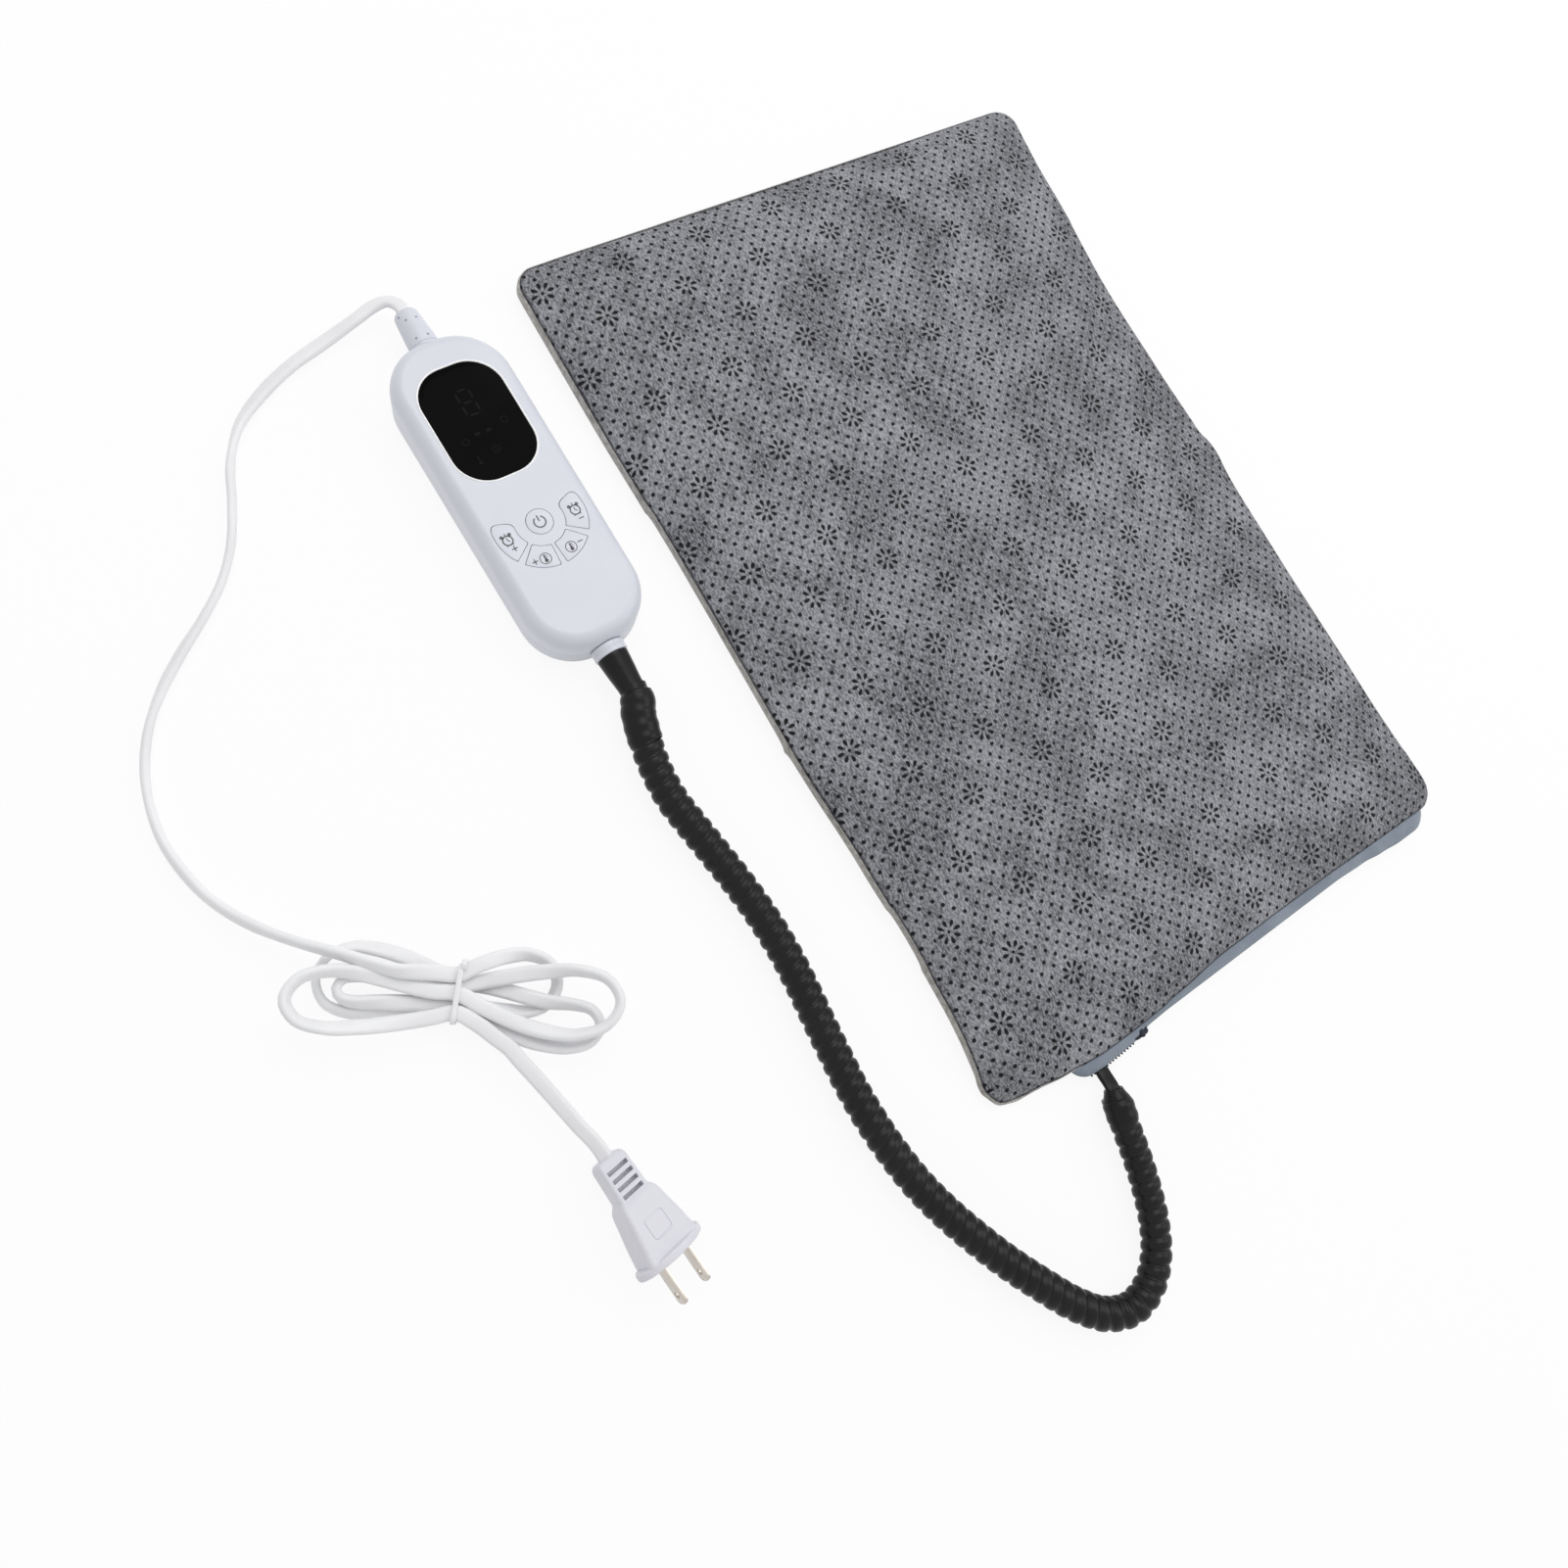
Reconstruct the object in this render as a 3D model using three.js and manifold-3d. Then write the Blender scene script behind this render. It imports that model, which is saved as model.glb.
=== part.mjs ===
// Heating pad in a zipped cover, with a handheld controller, a ribbed lead hose and a tied mains cord.
// Millimetres, +Z up. The origin is the middle of the pad's underside, X across the pad and Y along it.
import * as THREE from 'three';
import { mergeVertices } from 'three/addons/utils/BufferGeometryUtils.js';
import Module from 'manifold-3d';

const wasm = await Module();
wasm.setup();

// Fits
const GAP = 0.3; // between pieces that touch
const KEY_GAP = 0.35; // round a key in its hole
const OVERCUT = 2; // how far a cutting tool runs past the face it opens
const TABLE_CLEAR = 0.1; // under the cord, the hose and the plug

// Pad cover
const PAD_WIDTH = 306;
const PAD_LENGTH = 442;
const PAD_TURN = THREE.MathUtils.degToRad(1.35); // how the pad lies, turned to the left
const PAD_CORNER = 12;
const SEAM_HEIGHT = 9; // rim of the lower cover
const CROWN_HEIGHT = 15.5; // top of the panel at the middle
const FABRIC = 1.6;
const SIDE_DRAW = 2.5; // how far the sides are drawn in at their middles
const EDGE_ROLL = 3.5; // how soon the panel rolls up from its seam
const CROWN_EASE = 45; // how slowly the rest of the crown rises
const EDGE_SHARE = 0.8; // share of the crown that the rolled edge takes
const CORNER_EASE = 0.3; // inner contours round off by this share of their inset
const BASE_ROLL = 6; // width of the lower cover's rolled bottom edge

// Heating core
const CORE_INSET = 7;
const FELT = 2.4;
const WIRE = 2.6; // diameter
const WIRE_RUNS = 8;
const WIRE_PITCH = 36;
const WIRE_MARGIN = 31; // from the ends of the pad to the turns
const TAIL_MARGIN = 18; // from the zipped end to the wire's tails
const TAIL_BEND = 7;
const CUTOUT_LENGTH = 12.4;
const CUTOUT_WIDTH = 5;
const JOINT_LENGTH = 20;
const JOINT_WIDTH = 9;

// Zip along the lower end
const ZIP_LENGTH = 246;
const ZIP_MIDDLE = 15.5; // X of its middle
const ZIP_OUT = 9.5; // from the pad's end to the teeth, at the middle
const ZIP_TURN = THREE.MathUtils.degToRad(0.5);
const TAPE = 0.6;
const TAPE_TUCK = 3; // how far the tapes reach in under the panel
const TEETH_HEIGHT = 1.6;
const TEETH_WIDTH = 2.4;
const TEETH_PITCH = 4;
const TEETH_DEPTH = 0.8;
const LOWER_TAPE_HEIGHT = 2.4; // underside above the table
const SLIDER_FROM_END = 37; // from the zip's left end to the slider
const SLIDER_LENGTH = 9;
const SLIDER_DEPTH = 5;
const SLIDER_WALL = 0.9;
const SLIDER_CLEAR = 0.4;

// Lead between pad and controller
const LEAD_WIDTH = 6;
const LEAD_THICK = 2.6;
const LEAD_FROM_END = 12.1; // from the zip's left end to the lead
const LEAD_STEPS = 78;
const HOSE_RADIUS = 6.8; // crest of the ribs
const HOSE_ROOT = 5.8;
const HOSE_BORE = 4.4;
const HOSE_PITCH = 6.1;
const SHRINK_START = 17; // length of hose under the sleeve at the controller
const SHRINK_END = 12; // and at the pad
const SHRINK_NECK = 4; // how far the sleeves reach past the hose
const SHRINK_WALL = 0.5;
const SHRINK_SWELL = 0.35; // how far the ribs show through the shrunk sleeves
const SLEEVE_LIFT = GAP + SHRINK_WALL + SHRINK_SWELL; // how far the sleeve at the pad raises the hose's end

// Controller
const CTRL_X = -205.7;
const CTRL_Y = 113.7;
const CTRL_TURN = THREE.MathUtils.degToRad(2.7);
const CTRL_WIDTH = 55;
const CTRL_LENGTH = 154;
const CTRL_HEIGHT = 24;
const CTRL_CORNER = 24;
const CTRL_WALL = 2;
const CTRL_FACE = 2.2;
const PARTING = 11; // top of the back shell
const FRONT_EDGE_IN = 6; // the front's soft edge
const FRONT_EDGE_DOWN = 8;
const BACK_EDGE = 4;
const WINDOW_WIDTH = 38;
const WINDOW_LENGTH = 50;
const WINDOW_CORNER = 15;
const WINDOW_Y = 32.4;
const WINDOW_THICK = 1.2;
const WINDOW_LEDGE = 2;
const KEYS_Y = -18.8; // middle of the power key
const POWER_RADIUS = 5.8;
const SECTOR_IN = 11.2;
const SECTOR_OUT = 21;
const KEY_PROUD = 0.35;
const KEY_THICK = 3.2;
const KEY_TRAVEL = 0.5;
const STEM_RADIUS = 1.8;
const BOARD_WIDTH = 44;
const BOARD_LENGTH = 126;
const BOARD_CORNER = 16;
const BOARD_THICK = 1.6;
const BOARD_TOP = 16;
const SWITCH_SIZE = 6;
const SWITCH_BODY = 2.2;
const SWITCH_PLUNGER = 0.8;
const DISPLAY_WIDTH = 26;
const DISPLAY_LENGTH = 36;
const MAINS_CAPACITOR = { x: -9, y: 36, width: 6, length: 13, height: 9 };
const TRIAC = { x: 9, y: 30, width: 10, length: 15, height: 4.4 };
const SUPPLY_CAPACITOR = { x: -10, y: 12, radius: 4, height: 10 };
const FUSE = { x: 9, y: 12, radius: 1.8, length: 10 };
const SCREW_RADIUS = 1.4;
const SCREW_HEAD = 2.7;
const SCREW_HEAD_THICK = 1.8;
const SCREW_DEEP = 3; // the heads' depth below the back
const SCREW_LENGTH = 15.5;
const SCREW_X = 17;
const SCREW_Y = 56;
const BOSS_RADIUS = 3.6;
const BOOT_BASE = 6.8;
const BOOT_TIP = 5.4;
const BOOT_LENGTH = 20;
const BOOT_NECK = 5.2;
const COLLAR_BASE = 7.8;
const COLLAR_LENGTH = 5;
const COLLAR_NECK = 6;
const FLANGE = 1.2; // how far the boot's and the collar's inner flanges stand out
const FLANGE_THICK = 2.5;
const FLANGE_SET = 1.5; // from the end wall to the flanges, as the wall leans in above them
const LEAD_BORE = 3.6;
const SLEEVE_LENGTH = 14;
const SLEEVE_TIP = 6;

// Mains cord and its hank
const CORD_WIDTH = 6.4;
const CORD_THICK = 3.4;
const CORD_STEP = 9;
const HANK_X = -322.5;
const HANK_Y = -66;
const HANK_TURN = THREE.MathUtils.degToRad(-30);
const HANK_CLEAR = 0.5; // between neighbouring strands at the waist
const HANK_END = 16; // from the tie to where the hank's tube starts and ends
const HANK_LIFT = 3.1; // how far the strand from the controller rises over the strand beside it
const TIE_WIDTH = 3;
const TIE_THICK = 0.8;
const TIE_ROOM = 1.2; // for strands that spread from the tie

// Plug
const PLUG_X = -302;
const PLUG_Y = -151;
const PLUG_TURN = THREE.MathUtils.degToRad(186.1);
const PLUG_ROLL = THREE.MathUtils.degToRad(-20);
const PLUG_GRIP = 17.5;
const PLUG_BODY = 25;
const PLUG_FLANGE = 3.4;
const FLANGE_WIDTH = 32;
const FLANGE_HEIGHT = 21;
const GRIP_WIDTH = 13.3;
const GRIP_HEIGHT = 9.5;
const GRIP_SLOTS = 4;
const GRIP_SLOT = 1.7;
const GRIP_SLOT_PITCH = 3.6;
const GRIP_SLOT_DEPTH = 1.6;
const BLADE_SPACING = 12.7;
const BLADE_WIDTH = 6.3;
const BLADE_THICK = 1.5;
const BLADE_LENGTH = 17;
const BLADE_HOLE = 1.5;
const BLADE_HOLE_BACK = 4.4; // from the tip to the hole's middle

// Routes, as points chosen by hand: X, Y, lift above the table and, for the flat cord, its roll in degrees
const HOSE_ROUTE = [
  [-203, -5.4, 2.9], [-206.4, -14.5, 1.2], [-208, -25, 0.3], [-207.9, -37, 0], [-205.9, -48.8, 0],
  [-202.8, -65.4, 0], [-199.8, -82.2, 0], [-197.7, -99, 0], [-196.7, -116, 0], [-197, -132.6, 0],
  [-198, -149.3, 0], [-198.8, -165.8, 0], [-199.3, -182.3, 0], [-198.7, -198.8, 0], [-196.9, -215.3, 0],
  [-193.8, -231.7, 0], [-188.9, -247.9, 0], [-182.7, -263.9, 0], [-175.6, -279.8, 0], [-167.3, -295.4, 0],
  [-157.5, -310.5, 0], [-147, -321, 0], [-135, -325.6, 0], [-123.5, -323, 0], [-114.2, -315.3, 0],
  [-107.2, -303.5, 0], [-102.3, -290.5, 0], [-98.6, -276.5, SLEEVE_LIFT / 2], [-96.1, -262.8, SLEEVE_LIFT],
  [-93.2, -249.4, SLEEVE_LIFT],
];
const UPPER_ROUTE = [
  [-215.2, 222, 6.8, 24], [-222.5, 222.4, 5.4, 20], [-231, 219.6, 4, 8],
  [-247, 215, 2, 0], [-264.1, 209.3, 0.5, 0], [-280.3, 201.5, 0, 8], [-294.8, 190.5, 0, 45],
  [-305.1, 175.4, 0, 85], [-311.9, 158.7, 0, 88], [-319.6, 142.6, 0, 74], [-329.9, 128.6, 0, 55],
  [-342.2, 117.3, 0, 38], [-355, 107.4, 0, 32], [-367, 96.8, 0, 40], [-377.3, 84.7, 0, 60],
  [-385.2, 70.8, 0, 72], [-390.1, 55.7, 0, 64], [-391.9, 40.1, 0, 48], [-390.1, 24.7, 0.4, 40],
  [-385.7, 10.1, 2, 36], [-377.5, -4.5, 5.2, 24], [-365.6, -19.2, 9.4, 10], [-353.3, -31.6, 12.2, 0],
];
const LOWER_ROUTE = [
  [-313.6, -100, 8.3, 0], [-310.7, -111.6, 7.4, 6], [-308, -123.2, 7.3, 12], [-305.3, -135, 8.1, 18],
];
// The lead's way in from the zip to its joint: distances from the zip, and heights
const LEAD_INSIDE = [[-8.5, 6.7], [-4.2, 4.2], [1.5, 3.3], [10, 4.1]];

// The hank's lobes. Each leaves one slot of the waist and enters the next: a slot is a column and a layer.
// out and back are the two strands' offsets where the lobe's nose starts, climb is where it changes layer
// and lag is how late the first strand spreads.
const LOBES = [
  { side: 1, reach: 39, nose: 12, out: 16, back: -7,
    from: [1.06, 2], to: [-0.6, 0], climb: [0.1, 0.5], lag: 1 },
  { side: -1, reach: 53.5, nose: 13, out: -7.5, back: 18,
    from: [-0.6, 0], to: [0.6, 0], climb: [0.4, 0.6], lag: 1 },
  { side: 1, reach: 56.5, nose: 11, out: -4, back: -21,
    from: [0.6, 0], to: [-0.6, 1], climb: [0.06, 0.2], lag: 2 },
  { side: -1, reach: 45, nose: 7, out: -3.5, back: 6.5,
    from: [-0.6, 1], to: [0.4, 1], climb: [0.4, 0.6], lag: 1 },
  { side: 1, reach: 63.5, nose: 17, out: 9.3, back: -16,
    from: [0.4, 1], to: [0, 2], climb: [0.05, 0.2], lag: 1 },
  { side: -1, reach: 61.5, nose: 15, out: 8, back: -13.4,
    from: [0, 2], to: [-1.1, 2], climb: [0.4, 0.6], lag: 2 },
];
const LOBE_STEPS = 14;
const LOBE_RUN = 0.36; // share of a lobe's steps on each straight run

// Finishes
const finish = (color, roughness, metalness = 0) =>
  new THREE.MeshStandardMaterial({ color, roughness, metalness });
const FELT_PRINT = finish(0x74757b, 0.95);
const PLUSH = finish(0xb3aea8, 0.95);
const WADDING = finish(0xd9d6d0, 0.95);
const WIRE_SKIN = finish(0xe4dccb, 0.6);
const BLUE_TAPE = finish(0x7d8a99, 0.85);
const DARK_METAL = finish(0x2c2d31, 0.45, 0.8);
const BLACK_RUBBER = finish(0x1d1d1f, 0.5);
const WHITE_SHELL = finish(0xe3e4ee, 0.42);
const GLOSS_BLACK = finish(0x08080a, 0.12);
const BOARD_GREEN = finish(0x2f6b3c, 0.6);
const GREY_PART = finish(0x4a4a4e, 0.5);
const WHITE_CORD = finish(0xe8e8ec, 0.45);
const STEEL = finish(0xb9b9bd, 0.35, 1);
const NICKEL = finish(0xc4bcb4, 0.3, 1);

const heatingPad = new THREE.Group();
const pad = new THREE.Group();
pad.rotation.z = PAD_TURN;
heatingPad.add(pad);
pad.updateMatrix();
const fromPad = (x, y, z) => new THREE.Vector3(x, y, z).applyMatrix4(pad.matrix);

function part(name, geometry, material, parent = heatingPad) {
  if (!geometry.getAttribute('normal')) geometry.computeVertexNormals();
  const mesh = new THREE.Mesh(geometry, material);
  mesh.name = name;
  parent.add(mesh);
  return mesh;
}

// Booleans
function toSolid(geometry) {
  const bare = geometry.clone();
  bare.deleteAttribute('normal');
  bare.deleteAttribute('uv');
  const merged = mergeVertices(bare, 1e-4);
  return new wasm.Manifold(new wasm.Mesh({
    numProp: 3,
    vertProperties: new Float32Array(merged.attributes.position.array),
    triVerts: new Uint32Array(merged.index.array),
  }));
}

function toGeometry(solid) {
  const mesh = solid.getMesh();
  const geometry = new THREE.BufferGeometry();
  geometry.setAttribute('position', new THREE.BufferAttribute(new Float32Array(mesh.vertProperties), 3));
  geometry.setIndex(new THREE.BufferAttribute(new Uint32Array(mesh.triVerts), 1));
  return geometry;
}

function cut(body, ...tools) {
  return toGeometry(tools.reduce((solid, tool) => solid.subtract(toSolid(tool)), toSolid(body)));
}

function join(body, ...others) {
  return toGeometry(others.reduce((solid, other) => solid.add(toSolid(other)), toSolid(body)));
}

// Forms
function signedVolume(points, index) {
  let volume = 0;
  for (let i = 0; i < index.length; i += 3) {
    const [a, b, c] = [points[index[i]], points[index[i + 1]], points[index[i + 2]]];
    volume += a.dot(new THREE.Vector3().crossVectors(b, c)) / 6;
  }
  return volume;
}

// A skin over a row of rings, closed by fans at both ends, or onto its first ring when looped.
function loft(rings, looped = false) {
  const count = rings[0].length;
  const points = rings.flat();
  const index = [];
  const bands = looped ? rings.length : rings.length - 1;
  for (let k = 0; k < bands; k++) {
    const a = k * count;
    const b = ((k + 1) % rings.length) * count;
    for (let i = 0; i < count; i++) {
      const j = (i + 1) % count;
      index.push(a + i, a + j, b + j, a + i, b + j, b + i);
    }
  }
  if (!looped) {
    const last = (rings.length - 1) * count;
    for (const [start, ring, up] of [[0, rings[0], false], [last, rings.at(-1), true]]) {
      const middle = points.length;
      const centre = new THREE.Vector3();
      ring.forEach((p) => centre.addScaledVector(p, 1 / count));
      points.push(centre);
      for (let i = 0; i < count; i++) {
        const j = (i + 1) % count;
        if (up) index.push(middle, start + i, start + j);
        else index.push(middle, start + j, start + i);
      }
    }
  }
  if (signedVolume(points, index) < 0) index.reverse();
  const geometry = new THREE.BufferGeometry().setFromPoints(points);
  geometry.setIndex(index);
  return geometry;
}

// A rounded rectangle as a ring of points at one height, with sides that bow in by draw at their middles.
function rectRing(width, length, radius, z, { corner = 4, side = 1, draw = 0 } = {}) {
  const corners = [[1, 1], [-1, 1], [-1, -1], [1, -1]].map(([sx, sy], k) => {
    const arc = [];
    for (let i = 0; i <= corner; i++) {
      const turn = (k + i / corner) * Math.PI / 2;
      const x = sx * (width / 2 - radius) + radius * Math.cos(turn);
      const y = sy * (length / 2 - radius) + radius * Math.sin(turn);
      arc.push(new THREE.Vector3(x, y, z));
    }
    return arc;
  });
  const inward = [[0, -1], [1, 0], [0, 1], [-1, 0]].map(([x, y]) => new THREE.Vector3(x, y, 0));
  const ring = [];
  corners.forEach((arc, k) => {
    ring.push(...arc);
    const next = corners[(k + 1) % 4][0];
    for (let j = 1; j < side; j++) {
      const t = j / side;
      const bow = draw * 4 * t * (1 - t);
      ring.push(arc.at(-1).clone().lerp(next, t).addScaledVector(inward[k], bow));
    }
  });
  return ring;
}

function roundedRect(width, length, radius) {
  const shape = new THREE.Shape();
  const [x, y] = [width / 2, length / 2];
  shape.absarc(x - radius, y - radius, radius, 0, Math.PI / 2);
  shape.absarc(radius - x, y - radius, radius, Math.PI / 2, Math.PI);
  shape.absarc(radius - x, radius - y, radius, Math.PI, 1.5 * Math.PI);
  shape.absarc(x - radius, radius - y, radius, 1.5 * Math.PI, 2 * Math.PI);
  return shape;
}

function prism(shape, low, high, curveSegments = 5) {
  const geometry = new THREE.ExtrudeGeometry(shape, { depth: high - low, bevelEnabled: false, curveSegments });
  return geometry.translate(0, 0, low);
}

function box(x, y, z, width, length, height) {
  return new THREE.BoxGeometry(width, length, height).translate(x, y, z);
}

// An upright post from one height to another.
function post(x, y, low, high, radius, sides = 12) {
  const geometry = new THREE.CylinderGeometry(radius, radius, high - low, sides);
  return geometry.rotateX(Math.PI / 2).translate(x, y, (low + high) / 2);
}

function lathe(profile, sides = 20) {
  return new THREE.LatheGeometry(profile.map(([r, y]) => new THREE.Vector2(r, y)), sides);
}

// A flat cord's section: two half rounds with flats between them. X is its thickness and Y its width.
function flatOval(width, thick, sides) {
  const half = sides / 2;
  const radius = thick / 2 / Math.cos(Math.PI / sides);
  const points = [];
  for (const side of [1, -1]) {
    for (let i = 0; i < half; i++) {
      const turn = side * Math.PI / 2 + ((i + 0.5) / half - 0.5) * Math.PI;
      const offset = side * (width - thick) / 2;
      points.push(new THREE.Vector2(radius * Math.cos(turn), offset + radius * Math.sin(turn)));
    }
  }
  return new THREE.Shape(points);
}

// A route through given points, whose section keeps upright apart from its own roll.
class Route extends THREE.Curve {
  constructor(points, rolls = [], tangents = []) {
    super();
    const last = points.length - 1;
    this.points = points;
    this.rolls = points.map((_, i) => rolls[i] ?? 0);
    this.tangents = points.map((_, i) => tangents[i]
      ?? points[Math.min(i + 1, last)].clone().sub(points[Math.max(i - 1, 0)]).normalize());
  }

  getPoint(t, target = new THREE.Vector3()) {
    const at = t * (this.points.length - 1);
    const i = Math.min(Math.floor(at), this.points.length - 2);
    return target.lerpVectors(this.points[i], this.points[i + 1], at - i);
  }

  getSpacedPoints() {
    return this.points;
  }

  computeFrenetFrames() {
    const frames = { tangents: this.tangents, normals: [], binormals: [] };
    this.tangents.forEach((tangent, i) => {
      const up = new THREE.Vector3(0, 0, 1).addScaledVector(tangent, -tangent.z).normalize();
      const normal = up.applyAxisAngle(tangent, THREE.MathUtils.degToRad(this.rolls[i]));
      frames.normals.push(normal);
      frames.binormals.push(new THREE.Vector3().crossVectors(tangent, normal));
    });
    return frames;
  }
}

// Evenly spaced points along a smooth curve through hand-chosen ones, with their rolls.
function smoothRoute(points, steps, rolls = []) {
  const curve = new THREE.CatmullRomCurve3(points, false, 'centripetal');
  const along = [];
  const ways = [];
  const turned = [];
  for (let i = 0; i <= steps; i++) {
    along.push(curve.getPointAt(i / steps));
    ways.push(curve.getTangentAt(i / steps));
    const at = curve.getUtoTmapping(i / steps) * (points.length - 1);
    const k = Math.min(Math.floor(at), points.length - 2);
    turned.push(THREE.MathUtils.lerp(rolls[k] ?? 0, rolls[k + 1] ?? 0, at - k));
  }
  return new Route(along, turned, ways);
}

function tube(route, section) {
  return new THREE.ExtrudeGeometry(section, { steps: route.points.length - 1, extrudePath: route });
}

// Rings of points round a route, at a radius for each point.
function ringsAlong(route, radii, sides) {
  const { normals, binormals } = route.computeFrenetFrames();
  return route.points.map((p, i) => {
    const ring = [];
    for (let k = 0; k < sides; k++) {
      const turn = 2 * Math.PI * k / sides;
      ring.push(p.clone()
        .addScaledVector(normals[i], radii[i] * Math.cos(turn))
        .addScaledVector(binormals[i], radii[i] * Math.sin(turn)));
    }
    return ring;
  });
}

// Pad cover: a crowned printed panel over a plush lower cover with upturned sides
const RIM = FABRIC + 0.2;
const PANEL_LOW = SEAM_HEIGHT + GAP;
const padRing = (inset, z) => rectRing(PAD_WIDTH - 2 * inset, PAD_LENGTH - 2 * inset,
  PAD_CORNER + CORNER_EASE * inset, z, { side: 6, draw: SIDE_DRAW });

function crown(inset) {
  const rolled = EDGE_SHARE * (1 - Math.exp(-inset / EDGE_ROLL));
  const eased = (1 - EDGE_SHARE) * (1 - Math.exp(-inset / CROWN_EASE));
  return PANEL_LOW + (CROWN_HEIGHT - PANEL_LOW) * (rolled + eased);
}

function coverTop() {
  const under = [110, 55, 18, 8, 4, RIM + 0.6].map((inset) => padRing(inset, crown(inset) - FABRIC));
  const over = [0.8, 2.2, 5, 10, 20, 55, 110].map((inset) => padRing(inset, crown(inset)));
  return loft([...under, padRing(RIM, PANEL_LOW), padRing(0, PANEL_LOW), ...over]);
}

const padEnd = -PAD_LENGTH / 2;
const zipY = (x) => padEnd - ZIP_OUT + (x - ZIP_MIDDLE) * Math.tan(ZIP_TURN);
const zipLeft = ZIP_MIDDLE - ZIP_LENGTH / 2;
const zipRight = ZIP_MIDDLE + ZIP_LENGTH / 2;
const leadX = zipLeft + LEAD_FROM_END;

function coverBase() {
  const outside = [[BASE_ROLL, 0], [BASE_ROLL / 3, 0.8], [0.3, SEAM_HEIGHT / 3], [0, SEAM_HEIGHT * 0.7]];
  const inside = [[RIM, SEAM_HEIGHT], [FABRIC + 0.6, SEAM_HEIGHT * 0.6], [BASE_ROLL, FABRIC]];
  const tray = loft([...outside, [0.2, SEAM_HEIGHT], ...inside].map(([inset, z]) => padRing(inset, z)));
  const mouthLow = LOWER_TAPE_HEIGHT - GAP;
  const mouthHigh = SEAM_HEIGHT + OVERCUT;
  const mouth = box(ZIP_MIDDLE, padEnd, (mouthLow + mouthHigh) / 2,
    ZIP_LENGTH + 2 * GAP, 2 * (BASE_ROLL + SIDE_DRAW), mouthHigh - mouthLow);
  return cut(tray, mouth);
}
part('cover_top', coverTop(), FELT_PRINT, pad);
part('cover_base', coverBase(), PLUSH, pad);

// Heating core: felt below, crowned wadding above and the wire laid between them
const feltLow = FABRIC + GAP;
const layerLow = feltLow + FELT;
const layer = Math.max(WIRE, LEAD_THICK) + 2 * GAP;
const wireZ = layerLow + layer / 2;
const coreRing = (inset, z) => padRing(CORE_INSET + inset, z);
part('core_felt', loft([coreRing(0, feltLow), coreRing(0, layerLow)]), WADDING, pad);

function coreWadding() {
  const top = [0, 4, 12, 48, 103].map((inset) => coreRing(inset, crown(CORE_INSET + inset) - FABRIC - GAP));
  return loft([coreRing(0, layerLow + layer), ...top]);
}
part('core_wadding', coreWadding(), WADDING, pad);

const tailY = padEnd + TAIL_MARGIN;
const firstRun = -(WIRE_RUNS - 1) / 2 * WIRE_PITCH;
const cutoutLeft = firstRun + TAIL_BEND + GAP;
const jointLeft = cutoutLeft + CUTOUT_LENGTH + GAP;
const jointRight = jointLeft + JOINT_LENGTH;

function arcPoints(x, y, radius, from, to, steps) {
  const points = [];
  for (let i = 0; i <= steps; i++) {
    const turn = THREE.MathUtils.lerp(from, to, i / steps);
    points.push(new THREE.Vector3(x + radius * Math.cos(turn), y + radius * Math.sin(turn), wireZ));
  }
  return points;
}

function heatingWire() {
  const turn = WIRE_PITCH / 2;
  const high = PAD_LENGTH / 2 - WIRE_MARGIN - turn;
  const low = padEnd + WIRE_MARGIN + turn;
  const lastRun = firstRun + (WIRE_RUNS - 1) * WIRE_PITCH;
  const points = arcPoints(firstRun + TAIL_BEND, tailY + TAIL_BEND, TAIL_BEND, 1.5 * Math.PI, Math.PI, 4);
  for (let i = 0; i < WIRE_RUNS - 1; i++) {
    const x = firstRun + (i + 0.5) * WIRE_PITCH;
    const rising = i % 2 === 0;
    points.push(...arcPoints(x, rising ? high : low, turn, rising ? Math.PI : -Math.PI, 0, 6));
  }
  points.push(...arcPoints(lastRun - TAIL_BEND, tailY + TAIL_BEND, TAIL_BEND, 0, -Math.PI / 2, 4));
  points.push(new THREE.Vector3(jointRight + GAP, tailY, wireZ));
  return tube(new Route(points), flatOval(WIRE, WIRE, 6));
}
part('heating_wire', heatingWire(), WIRE_SKIN, pad);
part('thermal_cutout', box(cutoutLeft + CUTOUT_LENGTH / 2, tailY, wireZ, CUTOUT_LENGTH, CUTOUT_WIDTH, WIRE),
  GREY_PART, pad);
part('lead_joint', box(jointLeft + JOINT_LENGTH / 2, tailY, wireZ, JOINT_LENGTH, JOINT_WIDTH, WIRE),
  BLACK_RUBBER, pad);

// Zip: an upper tape from under the panel, a lower tape from the lower cover, the teeth and the slider
const teethLow = LOWER_TAPE_HEIGHT + TAPE + GAP;
const tapeLow = teethLow + TEETH_HEIGHT + GAP; // underside of the upper tape at the teeth
const lowerLeft = leadX + LEAD_WIDTH / 2 + 3 * GAP;
const tuckY = padEnd + TAPE_TUCK;

function tapeBetween(left, right, inner, outer) {
  const section = (x) => [[tuckY, inner], [tuckY, inner + TAPE], [zipY(x), outer + TAPE], [zipY(x), outer]]
    .map(([y, z]) => new THREE.Vector3(x, y, z));
  return loft([section(left), section((left + right) / 2), section(right)]);
}
part('zip_tape_upper', tapeBetween(zipLeft, zipRight, SEAM_HEIGHT - TAPE, tapeLow), BLUE_TAPE, pad);
part('zip_tape_lower', tapeBetween(lowerLeft, zipRight, LOWER_TAPE_HEIGHT, LOWER_TAPE_HEIGHT),
  BLUE_TAPE, pad);

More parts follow.
